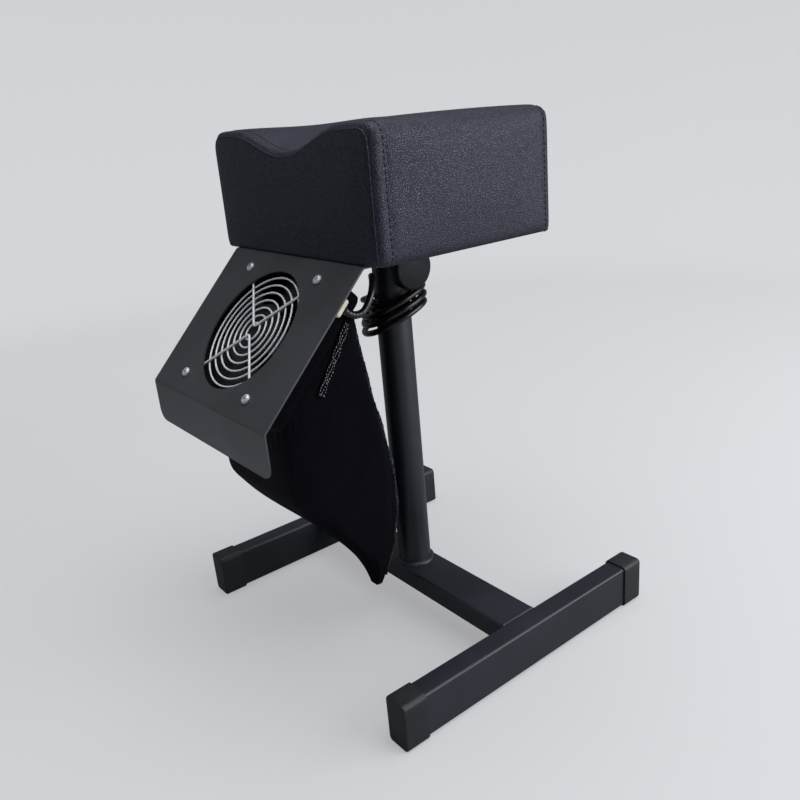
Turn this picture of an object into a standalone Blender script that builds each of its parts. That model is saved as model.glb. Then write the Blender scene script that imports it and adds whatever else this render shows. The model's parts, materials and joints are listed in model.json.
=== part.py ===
"""Pedicure footrest: a saddle cushion on a telescopic post, with a dust fan and a cloth dust bag.

Units are metres, +Z is up and the fan faces -Y. The origin is the middle of the footprint, on the floor.
"""

import math

import bmesh
import bpy
import numpy as np
from mathutils import Vector

# Base frame: two runners and a cross tube of the same rectangular tube
TUBE_HEIGHT = 0.040
TUBE_WIDTH = 0.020
TUBE_WALL = 0.0015
TUBE_CORNER = 0.0025
RUNNER_LENGTH = 0.290
RUNNER_SPACING = 0.305
CAP_WALL = 0.0014
CAP_END = 0.0021
CAP_LENGTH = 0.0235
CAP_EDGE = 0.0008
SEAT_GAP = 0.0003

# Post, sliding stem and clamp
POST_DIAMETER = 0.032
POST_WALL = 0.0015
WELD_BEAD = 0.0034
STEM_DIAMETER = 0.025
STEM_WALL = 0.0015
STEM_LENGTH = 0.200
BUSH_LENGTH = 0.045
BUSH_FLANGE = 0.002
GUIDE_LENGTH = 0.012
GUIDE_SPIGOT = 0.010
KNOB_DIAMETER = 0.038
KNOB_THICKNESS = 0.014
KNOB_DOME = 0.0018
KNOB_EDGE = 0.0025
KNOB_DROP = 0.018
BOSS_DIAMETER = 0.016
BOSS_LENGTH = 0.007
STUD_DIAMETER = 0.0076
STUD_IN_KNOB = 0.009

# Head: mounting plate, board and cushion
SEAT_HEIGHT = 0.365
PLATE_SIZE = 0.120
PLATE_THICKNESS = 0.003
PLATE_CORNER = 0.008
PLATE_HOLES = 0.090
BOARD_THICKNESS = 0.012
BOARD_CORNER = 0.006
COVER_WALL = 0.005
CUSHION_WIDTH = 0.230
CUSHION_DEPTH = 0.178
CUSHION_HEIGHT = 0.098
CUSHION_AHEAD = 0.006
TROUGH_DEPTH = 0.018
TROUGH_WIDTH = 0.160
CUSHION_CROWN = 0.0025
CUSHION_WAIST = 0.0015
CUSHION_EDGE = 0.006

# Fan panel: one bent steel sheet
PANEL_WIDTH = 0.194
PANEL_SHEET = 0.0015
PANEL_SLOPE = 0.139
PANEL_ANGLE = math.radians(45.5)
PANEL_LIP = 0.036
PANEL_FLANGE = 0.030
PANEL_BEND = 0.004
PANEL_CORNER = 0.010
PANEL_AHEAD = 0.0015
FAN_OPENING = 0.109
PANEL_SCREWS = 0.140

# Axial fan
FAN_SIZE = 0.120
FAN_DEPTH = 0.025
FAN_HOLES = 0.105
FAN_CORNER = 0.005
FAN_FLANGE = 0.004
FAN_DOWN = 0.069
DUCT_BORE = 0.113
DUCT_WALL = 0.0025
SPOKE_WIDTH = 0.008
SPOKE_DEPTH = 0.003
TERMINAL_HEIGHT = 0.012
TERMINAL_UP = 0.0435
TERMINAL_BACK = 0.0175
MOTOR_DIAMETER = 0.051
MOTOR_LENGTH = 0.0105
MOTOR_BORE = 0.0094
BEARING_LENGTH = 0.004
SHAFT_DIAMETER = 0.004
HUB_DIAMETER = 0.058
HUB_DEPTH = 0.014
HUB_WALL = 0.002
HUB_FACE = 0.0025
HUB_BOSS = 0.010
HUB_BACK = 0.0018
HUB_EDGE = 0.004
BLADE_COUNT = 5
BLADE_SPAN = math.radians(50)
BLADE_THICKNESS = 0.002
BLADE_TIP_GAP = 0.0015

# Wire finger guard between the panel and the fan
GUARD_RINGS = 7
GUARD_RADIUS = 0.0505
GUARD_PITCH = 0.0071
RING_WIRE = 0.0016
LEG_WIRE = 0.0020
LEG_APEX = 0.0034
LEG_BEND = 0.003
WELD_SINK = 0.0003

# Screws and nuts
FAN_SCREW_DIAMETER = 0.004
FAN_SCREW_HEAD = 0.008
FAN_SCREW_HEAD_HEIGHT = 0.0026
FAN_SCREW_SPARE = 0.0025
NUT_ACROSS = 0.007
NUT_HEIGHT = 0.0032
WOOD_SCREW_DIAMETER = 0.0038
WOOD_SCREW_HEAD = 0.0085
WOOD_SCREW_HEAD_HEIGHT = 0.0026
WOOD_SCREW_BITE = 0.009

# Dust bag and its collar
COLLAR_CLOTH = 0.0022
COLLAR_WIDTH = 0.0105
COLLAR_CORNER = 0.009
BAG_TIP_HEIGHT = 0.036
BAG_TIP_AHEAD = 0.050
BAG_TIP_HALF = 0.006
BAG_TIP_DEPTH = 0.007
BAG_CORNER_AHEAD = 0.1598
BAG_CORNER_HEIGHT = 0.1820
BAG_UNDER_RUN = 0.0159
BAG_UNDER_DROP = 0.0357
BAG_TIP_AWAY = 0.0003
BAG_TIP_LIFT = 0.0460
BAG_REAR_IN = 0.0139
BAG_REAR_DROP = 0.0396
BAG_TIP_SWEEP = 0.0310
BAG_TIP_RISE = 0.1372
BAG_TAPER = 2.12
HOOK_STRIP_LENGTH = 0.0615
HOOK_STRIP_WIDTH = 0.007
HOOK_STRIP_THICKNESS = 0.0009
HOOK_STRIP_UP = 0.0083
HOOK_STRIP_BACK = 0.042
HOOK_STRIP_LEAN = math.radians(12.8)

# Mains cord: lead, winding round the post and tail with its plug
CORD_DIAMETER = 0.0055
CONNECTOR_LENGTH = 0.013
CONNECTOR_WIDTH = 0.016
CONNECTOR_DEPTH = 0.0112
CONNECTOR_CORD_OUT = 0.0033
WINDING_TOP = 0.315
WINDING_PITCH = 0.0068
WINDING_SKIP = 0.001
WINDING_INNER_LOOPS = 3
WINDING_OUTER_LOOPS = 3
WINDING_INNER_EASE = 0.0014
WINDING_OUTER_RADIUS = 0.0279
WINDING_ECCENTRIC = 0.0006
WINDING_WANDER = 0.0004
WINDING_TILT = 0.12
WINDING_OUTER_TILT = 0.5
WINDING_HIGH_SIDE = math.radians(53)
WINDING_START = math.radians(223)
WINDING_END_TURN = math.radians(44)
POINTS_PER_LOOP = 24
PLUG_LENGTH = 0.034
PLUG_WIDTH = 0.033
PLUG_THICKNESS = 0.0137
PLUG_NECK = 0.009
PLUG_TURN = math.radians(143)
PLUG_OUT = 0.049
PLUG_DROP = 0.055
PIN_DIAMETER = 0.004
PIN_LENGTH = 0.019
PIN_SPACING = 0.019

# Heights of what is stacked on the post
TUBE_BOTTOM = CAP_WALL + SEAT_GAP
BASE_TOP = TUBE_BOTTOM + TUBE_HEIGHT
PLATE_TOP = SEAT_HEIGHT - SEAT_GAP
PLATE_BOTTOM = PLATE_TOP - PLATE_THICKNESS
POST_TOP = PLATE_BOTTOM - BUSH_FLANGE - 2 * SEAT_GAP
POST_BOTTOM = BASE_TOP + SEAT_GAP
CLAMP_HEIGHT = POST_TOP - KNOB_DROP

# Where the panel's top bend is, measured from the post's axis, and how far the object reaches each way
PANEL_TOP_Y = -(CUSHION_AHEAD + CUSHION_DEPTH / 2 + PANEL_AHEAD)
PANEL_TOP_Z = SEAT_HEIGHT - SEAT_GAP
FRONT_REACH = -PANEL_TOP_Y + PANEL_SLOPE * math.cos(PANEL_ANGLE)
RUNNER_REACH = RUNNER_LENGTH / 2 + SEAT_GAP + CAP_END
POST_Y = (max(FRONT_REACH, RUNNER_REACH) - RUNNER_REACH) / 2

# Depths behind the panel's front face, along its normal
GUARD_LEG_Z = -(PANEL_SHEET + SEAT_GAP + LEG_WIRE / 2)
GUARD_RING_Z = GUARD_LEG_Z - (LEG_WIRE + RING_WIRE) / 2 + WELD_SINK
FAN_FRONT_Z = GUARD_LEG_Z - LEG_WIRE / 2 - SEAT_GAP
FAN_BACK_Z = FAN_FRONT_Z - FAN_DEPTH
HUB_FRONT_Z = FAN_FRONT_Z - HUB_BACK
SEAT_FACE_Z = FAN_BACK_Z + SPOKE_DEPTH + SEAT_GAP
COLLAR_BACK_Z = FAN_BACK_Z - NUT_HEIGHT - 2 * SEAT_GAP - FAN_SCREW_SPARE

for old in list(bpy.data.objects):
    bpy.data.objects.remove(old)

parts = bpy.data.collections.new("pedicure_footrest")
cutters = bpy.data.collections.new("cutters")
bpy.context.scene.collection.children.link(parts)
bpy.context.scene.collection.children.link(cutters)


def finish(name, colour, roughness, metallic=0.0):
    """A plain material; colour is an sRGB hex value."""
    channels = [int(colour[i:i + 2], 16) / 255 for i in (0, 2, 4)]
    linear = [c / 12.92 if c <= 0.04045 else ((c + 0.055) / 1.055) ** 2.4 for c in channels]
    material = bpy.data.materials.new(name)
    material.use_nodes = True
    shader = material.node_tree.nodes["Principled BSDF"]
    shader.inputs["Base Color"].default_value = (*linear, 1.0)
    shader.inputs["Roughness"].default_value = roughness
    shader.inputs["Metallic"].default_value = metallic
    material.diffuse_color = (*linear, 1.0)
    return material


POWDER_COAT = finish("black_powder_coat", "2f3238", 0.45, 0.2)
CAP_PLASTIC = finish("black_cap_plastic", "2a2c30", 0.6)
BUSH_PLASTIC = finish("bush_plastic", "1c1c1e", 0.55)
KNOB_PLASTIC = finish("knob_plastic", "2b2f36", 0.4)
BRIGHT_ZINC = finish("bright_zinc", "d5d7da", 0.25, 1.0)
LEATHERETTE = finish("black_leatherette", "1d1e26", 0.5)
PLYWOOD = finish("plywood", "b08d5c", 0.7)
FAN_CASTING = finish("fan_casting", "141416", 0.5, 0.3)
FAN_PLASTIC = finish("fan_plastic", "232325", 0.5)
MOTOR_STEEL = finish("motor_steel", "8b8d90", 0.4, 0.9)
BEARING_BRONZE = finish("bearing_bronze", "9a7440", 0.4, 0.9)
BAG_CLOTH = finish("black_bag_cloth", "0d0d13", 0.9)
HOOK_TAPE = finish("hook_tape", "3a3a40", 0.85)
CORD_VINYL = finish("black_cord_vinyl", "0b0b0d", 0.3)
CREAM_PLASTIC = finish("cream_plastic", "e6dcc4", 0.5)


def joint_frame(name, parent, location, rotation=(0.0, 0.0, 0.0)):
    """An empty that carries pieces: on the axis of a joint, or where a sub-assembly sits."""
    empty = bpy.data.objects.new(name, None)
    parts.objects.link(empty)
    empty.parent = parent
    empty.location = location
    empty.rotation_euler = rotation
    return empty


def place(obj, parent, material, location=(0.0, 0.0, 0.0), rotation=(0.0, 0.0, 0.0)):
    """Makes an object a named piece of the footrest."""
    parts.objects.link(obj)
    obj.parent = parent
    obj.location = location
    obj.rotation_euler = rotation
    obj.data.materials.append(material)
    if obj.type == "MESH":
        obj.data.shade_smooth()
        obj.data.set_sharp_from_angle(angle=math.radians(35))
    return obj


def tool(obj, parent, location=(0.0, 0.0, 0.0), rotation=(0.0, 0.0, 0.0)):
    """Keeps an object only as a cutter, or as a shape to be joined to a piece."""
    cutters.objects.link(obj)
    obj.parent = parent
    obj.location = location
    obj.rotation_euler = rotation
    obj.hide_render = True
    obj.display_type = "WIRE"
    return obj


def combine(target, other, operation):
    modifier = target.modifiers.new(f"{operation.lower()}_{other.name}", "BOOLEAN")
    modifier.operation = operation
    modifier.object = other


def circle(radius, count, centre=(0.0, 0.0)):
    steps = np.arange(count) * 2 * math.pi / count
    return [(centre[0] + radius * math.cos(a), centre[1] + radius * math.sin(a)) for a in steps]


def rounded_rectangle(width, height, radius, steps=4):
    """Corner arcs in turn, counter-clockwise from the right-hand top corner."""
    points = []
    for quarter, (sx, sy) in enumerate(((1, 1), (-1, 1), (-1, -1), (1, -1))):
        centre = (sx * (width / 2 - radius), sy * (height / 2 - radius))
        for k in range(steps + 1):
            angle = (quarter + k / steps) * math.pi / 2
            points.append((centre[0] + radius * math.cos(angle), centre[1] + radius * math.sin(angle)))
    return points


def poly_spline(curve, points, cyclic):
    spline = curve.splines.new("POLY")
    spline.points.add(len(points) - 1)
    for point, where in zip(spline.points, points):
        point.co = (*where, *(0.0,) * (3 - len(where)), 1.0)
    spline.use_cyclic_u = cyclic


def extruded(name, loops, thickness):
    """A flat outline with any holes in it, extruded equally to both sides of its plane."""
    curve = bpy.data.curves.new(name, "CURVE")
    curve.dimensions = "2D"
    curve.fill_mode = "BOTH"
    curve.extrude = thickness / 2
    for loop in loops:
        poly_spline(curve, loop, True)
    return bpy.data.objects.new(name, curve)


def wire(name, points, diameter, cyclic=False, bevel_resolution=2):
    """A round wire or cord along its points."""
    curve = bpy.data.curves.new(name, "CURVE")
    curve.dimensions = "3D"
    curve.bevel_depth = diameter / 2
    curve.bevel_resolution = bevel_resolution
    curve.use_fill_caps = True
    poly_spline(curve, points, cyclic)
    return bpy.data.objects.new(name, curve)


def meshed(curve_object):
    """The same shape as a welded mesh, which can be cut and joined."""
    bpy.context.scene.collection.objects.link(curve_object)
    bpy.context.view_layer.update()
    evaluated = curve_object.evaluated_get(bpy.context.evaluated_depsgraph_get())
    mesh = bpy.data.meshes.new_from_object(evaluated)
    name = curve_object.name
    bpy.data.objects.remove(curve_object)
    made = bmesh.new()
    made.from_mesh(mesh)
    bmesh.ops.remove_doubles(made, verts=made.verts, dist=1e-6)
    bmesh.ops.recalc_face_normals(made, faces=made.faces)
    made.to_mesh(mesh)
    made.free()
    mesh.name = name
    return bpy.data.objects.new(name, mesh)


def gathered(name, objects):
    """Several meshes as the loose islands of one, for a single Boolean."""
    made = bmesh.new()
    for obj in objects:
        made.from_mesh(obj.data)
    mesh = bpy.data.meshes.new(name)
    made.to_mesh(mesh)
    made.free()
    for obj in objects:
        bpy.data.objects.remove(obj)
    return bpy.data.objects.new(name, mesh)


def turned(name, profile, steps=32, closed=False):
    """A profile of (radius, height) points, run down its outer side, turned about local Z."""
    mesh = bpy.data.meshes.new(name)
    edges = [(i, i + 1) for i in range(len(profile) - 1)]
    if closed:
        edges.append((len(profile) - 1, 0))
    mesh.from_pydata([(r, 0.0, z) for r, z in profile], edges, [])
    obj = bpy.data.objects.new(name, mesh)
    screw = obj.modifiers.new("turn", "SCREW")
    screw.axis = "Z"
    screw.steps = steps
    screw.render_steps = steps
    screw.use_merge_vertices = True
    screw.merge_threshold = 1e-6
    return obj


def sleeve(name, outer, inner, low, high, steps=32):
    """A plain tube or bush between two heights."""
    return turned(name, [(outer, high), (outer, low), (inner, low), (inner, high)], steps, closed=True)


def rod(name, radius, low, high, steps=24):
    return turned(name, [(0.0, high), (radius, high), (radius, low), (0.0, low)], steps)


def block(name, size):
    made = bmesh.new()
    bmesh.ops.create_cube(made, size=1.0)
    bmesh.ops.scale(made, vec=size, verts=made.verts)
    mesh = bpy.data.meshes.new(name)
    made.to_mesh(mesh)
    made.free()
    return bpy.data.objects.new(name, mesh)


def rounded(obj, width, segments=2, angle=math.radians(40)):
    bevel = obj.modifiers.new("rounded", "BEVEL")
    bevel.width = width
    bevel.segments = segments
    bevel.limit_method = "ANGLE"
    bevel.angle_limit = angle
    return obj


def loft(name, rings):
    """A closed skin through rings of equal point counts, with flat ends."""
    made = bmesh.new()
    rows = [[made.verts.new(point) for point in ring] for ring in rings]
    count = len(rows[0])
    for lower, upper in zip(rows, rows[1:]):
        for i in range(count):
            j = (i + 1) % count
            made.faces.new((lower[i], lower[j], upper[j], upper[i]))
    made.faces.new(rows[0])
    made.faces.new(rows[-1])
    bmesh.ops.recalc_face_normals(made, faces=made.faces)
    mesh = bpy.data.meshes.new(name)
    made.to_mesh(mesh)
    made.free()
    return bpy.data.objects.new(name, mesh)


def superellipse(half_width, half_depth, power, count):
    """Points of |x/a|^power + |y/b|^power = 1, evenly spread in angle."""
    angles = np.arange(count) * 2 * math.pi / count
    c, s = np.cos(angles), np.sin(angles)
    return np.stack([
        half_width * np.sign(c) * np.abs(c) ** (2 / power),
        half_depth * np.sign(s) * np.abs(s) ** (2 / power),
    ], axis=1)


def smooth_route(points, spacing):
    """Points about a spacing apart on a Catmull-Rom curve through a route's own points."""
    route = np.array(points)
    ends = np.concatenate([[2 * route[0] - route[1]], route, [2 * route[-1] - route[-2]]])
    found = [route[0]]
    for a, b, c, d in zip(ends, ends[1:], ends[2:], ends[3:]):
        steps = max(2, round(float(np.linalg.norm(c - b)) / spacing))
        for t in np.arange(1, steps + 1) / steps:
            found.append(
                0.5 * (2 * b + (c - a) * t + (2 * a - 5 * b + 4 * c - d) * t**2
                       + (3 * b - a - 3 * c + d) * t**3)
            )
    return np.array(found)


# Frames: the whole stand, the head that slides up on it, and the fan on its sloping panel
stand = joint_frame("stand", None, (0.0, POST_Y, 0.0))
head = joint_frame("height_slide_axis", stand, (0.0, 0.0, SEAT_HEIGHT))
clamp = joint_frame("clamp_axis", stand, (0.0, 0.0, CLAMP_HEIGHT), (0.0, math.pi / 2, 0.0))
fan = joint_frame(
    "fan_axis",
    head,
    (
        0.0,
        PANEL_TOP_Y - FAN_DOWN * math.cos(PANEL_ANGLE),
        PANEL_TOP_Z - SEAT_HEIGHT - FAN_DOWN * math.sin(PANEL_ANGLE),
    ),
    (PANEL_ANGLE, 0.0, 0.0),
)


# Base: the tubes are welded, and moulded caps push over the runners' ends and stand on the floor
def tube_loops(width, height):
    outer = rounded_rectangle(width, height, TUBE_CORNER)
    inner_corner = max(TUBE_CORNER - TUBE_WALL, TUBE_CORNER / 4)
    return [outer, rounded_rectangle(width - 2 * TUBE_WALL, height - 2 * TUBE_WALL, inner_corner)]


RUNNER_Z = TUBE_BOTTOM + TUBE_HEIGHT / 2
ALONG_Y = (math.pi / 2, 0.0, 0.0)
for side, sign in (("left", -1), ("right", 1)):
    runner_x = sign * RUNNER_SPACING / 2
    runner = extruded(f"runner_{side}", tube_loops(TUBE_WIDTH, TUBE_HEIGHT), RUNNER_LENGTH)
    place(runner, stand, POWDER_COAT, (runner_x, 0.0, RUNNER_Z), ALONG_Y)
    for end, way in (("front", -1), ("rear", 1)):
        growth = 2 * (SEAT_GAP + CAP_WALL)
        corner = TUBE_CORNER + growth / 2
        outline = rounded_rectangle(TUBE_WIDTH + growth, TUBE_HEIGHT + growth, corner, steps=3)
        cap = meshed(extruded(f"end_cap_{end}_{side}", [outline], CAP_LENGTH))
        cap_y = way * (RUNNER_REACH - CAP_LENGTH / 2)
        place(cap, stand, CAP_PLASTIC, (runner_x, cap_y, RUNNER_Z), ALONG_Y)
        rounded(cap, CAP_EDGE, segments=1, angle=math.radians(60))
        room = 2 * SEAT_GAP
        pocket = rounded_rectangle(TUBE_WIDTH + room, TUBE_HEIGHT + room, TUBE_CORNER + SEAT_GAP)
        socket = meshed(extruded(f"socket_{end}_{side}", [pocket], CAP_LENGTH))
        tool(socket, stand, (runner_x, cap_y - way * CAP_END, RUNNER_Z), ALONG_Y)
        combine(cap, socket, "DIFFERENCE")

cross_length = RUNNER_SPACING - TUBE_WIDTH - 2 * SEAT_GAP
cross = extruded("cross_tube", tube_loops(TUBE_WIDTH, TUBE_HEIGHT), cross_length)
place(cross, stand, POWDER_COAT, (0.0, 0.0, BASE_TOP - TUBE_WIDTH / 2), (0.0, math.pi / 2, 0.0))

# Post: a round tube on a bead of weld, drilled on its right side for the clamp stud
post_r = POST_DIAMETER / 2
post_bore = post_r - POST_WALL
post = turned("post", [
    (post_r, POST_TOP),
    (post_r, POST_BOTTOM + WELD_BEAD),
    (post_r + 0.7 * WELD_BEAD, POST_BOTTOM + 0.6 * WELD_BEAD),
    (post_r + WELD_BEAD, POST_BOTTOM),
    (post_bore, POST_BOTTOM),
    (post_bore, POST_TOP),
], steps=32, closed=True)
place(post, stand, POWDER_COAT)

stud_r = STUD_DIAMETER / 2
stud_hole = stud_r + SEAT_GAP
boss_end = post_r + SEAT_GAP + BOSS_LENGTH
drill = tool(rod("stud_drill", stud_hole, 0.0, boss_end), clamp)
combine(post, drill, "DIFFERENCE")

# Bush: a flanged plastic sleeve in the post's mouth, which the stem slides in
stem_r = STEM_DIAMETER / 2
bush = turned("post_bush", [
    (post_r, POST_TOP + SEAT_GAP + BUSH_FLANGE),
    (post_r, POST_TOP + SEAT_GAP),
    (post_bore - SEAT_GAP, POST_TOP + SEAT_GAP),
    (post_bore - SEAT_GAP, POST_TOP - BUSH_LENGTH),
    (stem_r + SEAT_GAP, POST_TOP - BUSH_LENGTH),
    (stem_r + SEAT_GAP, POST_TOP + SEAT_GAP + BUSH_FLANGE),
], steps=32, closed=True)
place(bush, stand, BUSH_PLASTIC)
combine(bush, drill, "DIFFERENCE")

# Clamp: a threaded boss welded to the post, and a knob whose stud presses on the stem
boss = sleeve("clamp_boss", BOSS_DIAMETER / 2, stud_hole, post_bore, boss_end)
place(boss, clamp, POWDER_COAT)
saddle = rod("boss_saddle", post_r + SEAT_GAP, -BOSS_DIAMETER, BOSS_DIAMETER, steps=32)
tool(saddle, clamp, rotation=(0.0, math.pi / 2, 0.0))
combine(boss, saddle, "DIFFERENCE")

knob_r = KNOB_DIAMETER / 2
knob_back = boss_end + SEAT_GAP
knob_face = knob_back + KNOB_THICKNESS
knob = turned("clamp_knob", [
    (0.0, knob_face),
    (0.5 * knob_r, knob_face - 0.25 * KNOB_DOME),
    (knob_r - KNOB_EDGE, knob_face - KNOB_DOME),
    (knob_r - 0.3 * KNOB_EDGE, knob_face - KNOB_DOME - 0.3 * KNOB_EDGE),
    (knob_r, knob_face - KNOB_DOME - KNOB_EDGE),
    (knob_r, knob_back + KNOB_EDGE),
    (knob_r - KNOB_EDGE, knob_back),
    (stud_hole, knob_back),
    (stud_hole, knob_back + STUD_IN_KNOB),
    (0.0, knob_back + STUD_IN_KNOB),
])
place(knob, clamp, KNOB_PLASTIC)
stud_tip = stem_r + SEAT_GAP
stud = turned("clamp_stud", [
    (0.0, knob_back + STUD_IN_KNOB - SEAT_GAP),
    (stud_r, knob_back + STUD_IN_KNOB - SEAT_GAP),
    (stud_r, stud_tip + 0.25 * stud_r),
    (0.75 * stud_r, stud_tip),
    (0.0, stud_tip),
], steps=16)
place(stud, clamp, BRIGHT_ZINC)

# Stem: the inner tube, with a plastic guide plug that keeps its lower end central in the post
stem_top = PLATE_BOTTOM - SEAT_GAP - SEAT_HEIGHT
stem_bottom = stem_top - STEM_LENGTH
stem_bore = stem_r - STEM_WALL
place(sleeve("stem", stem_r, stem_bore, stem_bottom, stem_top), head, MOTOR_STEEL)
guide_top = stem_bottom - SEAT_GAP
guide = turned("stem_guide", [
    (0.0, guide_top + GUIDE_SPIGOT),
    (stem_bore - SEAT_GAP, guide_top + GUIDE_SPIGOT),
    (stem_bore - SEAT_GAP, guide_top),
    (post_bore - SEAT_GAP, guide_top),
    (post_bore - SEAT_GAP, guide_top - GUIDE_LENGTH),
    (0.0, guide_top - GUIDE_LENGTH),
])
place(guide, head, BUSH_PLASTIC)


def pan_screw(name, diameter, head_diameter, head_height, length):
    """A pan-head screw standing on its tip, with the underside of its head at local height 0."""
    r = diameter / 2
    head_r = head_diameter / 2
    return turned(name, [
        (0.0, head_height),
        (0.55 * head_r, head_height),
        (0.9 * head_r, 0.7 * head_height),
        (head_r, 0.3 * head_height),
        (head_r, 0.0),
        (r, 0.0),
        (r, -length + 0.5 * r),
        (0.4 * r, -length),
        (0.0, -length),
    ], steps=10)


# Mounting plate, board and the wood screws that hold the plate and the panel to the board
UPSIDE_DOWN = (math.pi, 0.0, 0.0)
screw_r = WOOD_SCREW_DIAMETER / 2
screw_hole = screw_r + SEAT_GAP
board_y = -CUSHION_AHEAD
plate_screws = [(sx * PLATE_HOLES / 2, sy * PLATE_HOLES / 2) for sy in (-1, 1) for sx in (-1, 1)]
panel_screw_y = PANEL_TOP_Y + (PANEL_AHEAD + COVER_WALL + PANEL_FLANGE) / 2
panel_screws = [(k * PANEL_SCREWS / 2, panel_screw_y) for k in (-1, 0, 1)]

plate_loops = [rounded_rectangle(PLATE_SIZE, PLATE_SIZE, PLATE_CORNER)]
plate_loops += [circle(screw_hole, 12, centre) for centre in plate_screws]
plate = extruded("mounting_plate", plate_loops, PLATE_THICKNESS)
place(plate, head, POWDER_COAT, (0.0, 0.0, PLATE_TOP - SEAT_HEIGHT - PLATE_THICKNESS / 2))

board_width = CUSHION_WIDTH - 2 * COVER_WALL
board_depth = CUSHION_DEPTH - 2 * COVER_WALL
board_loops = [rounded_rectangle(board_width, board_depth, BOARD_CORNER)]
board_loops += [circle(screw_hole, 12, (x, y - board_y)) for x, y in plate_screws + panel_screws]
board = extruded("cushion_board", board_loops, BOARD_THICKNESS)
place(board, head, PLYWOOD, (0.0, board_y, BOARD_THICKNESS / 2))

wood_screw = (WOOD_SCREW_DIAMETER, WOOD_SCREW_HEAD, WOOD_SCREW_HEAD_HEIGHT)
for number, (x, y) in enumerate(plate_screws, 1):
    depth = PLATE_THICKNESS + 2 * SEAT_GAP + WOOD_SCREW_BITE
    screw = pan_screw(f"plate_screw_{number}", *wood_screw, depth)
    place(screw, head, BRIGHT_ZINC, (x, y, PLATE_BOTTOM - SEAT_GAP - SEAT_HEIGHT), UPSIDE_DOWN)
for number, (x, y) in enumerate(panel_screws, 1):
    depth = PANEL_SHEET + 2 * SEAT_GAP + WOOD_SCREW_BITE
    screw = pan_screw(f"panel_screw_{number}", *wood_screw, depth)
    place(screw, head, BRIGHT_ZINC, (x, y, -2 * SEAT_GAP - PANEL_SHEET), UPSIDE_DOWN)


# Cushion: a foam saddle under a sewn cover, which wraps down round the board
def cushion_cage():
    """A block cut along planes, then bent: its top dips along the middle and its faces swell."""
    half = np.array([CUSHION_WIDTH / 2, CUSHION_DEPTH / 2])
    edge = CUSHION_EDGE
    made = bmesh.new()
    bmesh.ops.create_cube(made, size=1.0)
    bmesh.ops.scale(made, vec=(CUSHION_WIDTH, CUSHION_DEPTH, CUSHION_HEIGHT), verts=made.verts)
    bmesh.ops.translate(made, vec=(0.0, 0.0, CUSHION_HEIGHT / 2), verts=made.verts)
    planes = [((x * half[0], 0, 0), (1, 0, 0)) for x in (-0.68, -0.36, 0.0, 0.36, 0.68)]
    planes += [((s * (half[0] - edge), 0, 0), (1, 0, 0)) for s in (-1, 1)]
    planes += [((0, y * half[1], 0), (0, 1, 0)) for y in (-0.45, 0.0, 0.45)]
    planes += [((0, s * (half[1] - edge), 0), (0, 1, 0)) for s in (-1, 1)]
    planes += [((0, 0, z), (0, 0, 1)) for z in (edge / 2, CUSHION_HEIGHT / 2, CUSHION_HEIGHT - edge)]
    for point, normal in planes:
        whole = list(made.verts) + list(made.edges) + list(made.faces)
        bmesh.ops.bisect_plane(made, geom=whole, plane_co=point, plane_no=normal)
    for vertex in made.verts:
        a = vertex.co.x / half[0]
        b = vertex.co.y / half[1]
        c = vertex.co.z / CUSHION_HEIGHT
        dip = 0.5 + 0.5 * math.cos(min(abs(vertex.co.x) / (TROUGH_WIDTH / 2), 1.0) * math.pi)
        swell = CUSHION_CROWN * math.sin(math.pi * c)
        waist = CUSHION_WAIST * c
        vertex.co.x += a**3 * (swell * (1 - b * b) - waist * (1 - b * b))
        vertex.co.y += b**3 * (swell * (1 - a * a) - waist * (1 - a * a))
        vertex.co.z -= c * (TROUGH_DEPTH * dip - CUSHION_CROWN * (1 - b * b))
    mesh = bpy.data.meshes.new("cushion")
    made.to_mesh(mesh)
    made.free()
    return bpy.data.objects.new("cushion", mesh)


cushion = cushion_cage()
smooth = cushion.modifiers.new("padding", "SUBSURF")
smooth.levels = 1
smooth.render_levels = 1
place(cushion, head, LEATHERETTE, (0.0, board_y, 0.0))
board_space = block("board_space", (
    board_width + 2 * SEAT_GAP,
    board_depth + 2 * SEAT_GAP,
    2 * (BOARD_THICKNESS + SEAT_GAP),
))
tool(board_space, head, (0.0, board_y, 0.0))
combine(cushion, board_space, "DIFFERENCE")


# Fan panel: a flange under the board, a sloping face with the fan's hole, and a lip bent down in front
def filleted(points, radius, steps=4):
    """A path of straight runs with an arc of one radius at each inner corner."""
    path = [Vector(points[0])]
    for before, corner, after in zip(points, points[1:], points[2:]):
        corner = Vector(corner)
        back = (Vector(before) - corner).normalized()
        ahead = (Vector(after) - corner).normalized()
        half_angle = back.angle(ahead) / 2
        centre = corner + (back + ahead).normalized() * radius / math.sin(half_angle)
        start = (corner + back * radius / math.tan(half_angle) - centre).normalized()
        end = (corner + ahead * radius / math.tan(half_angle) - centre).normalized()
        path += [centre + radius * start.slerp(end, k / steps) for k in range(steps + 1)]
    return path + [Vector(points[-1])]


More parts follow.
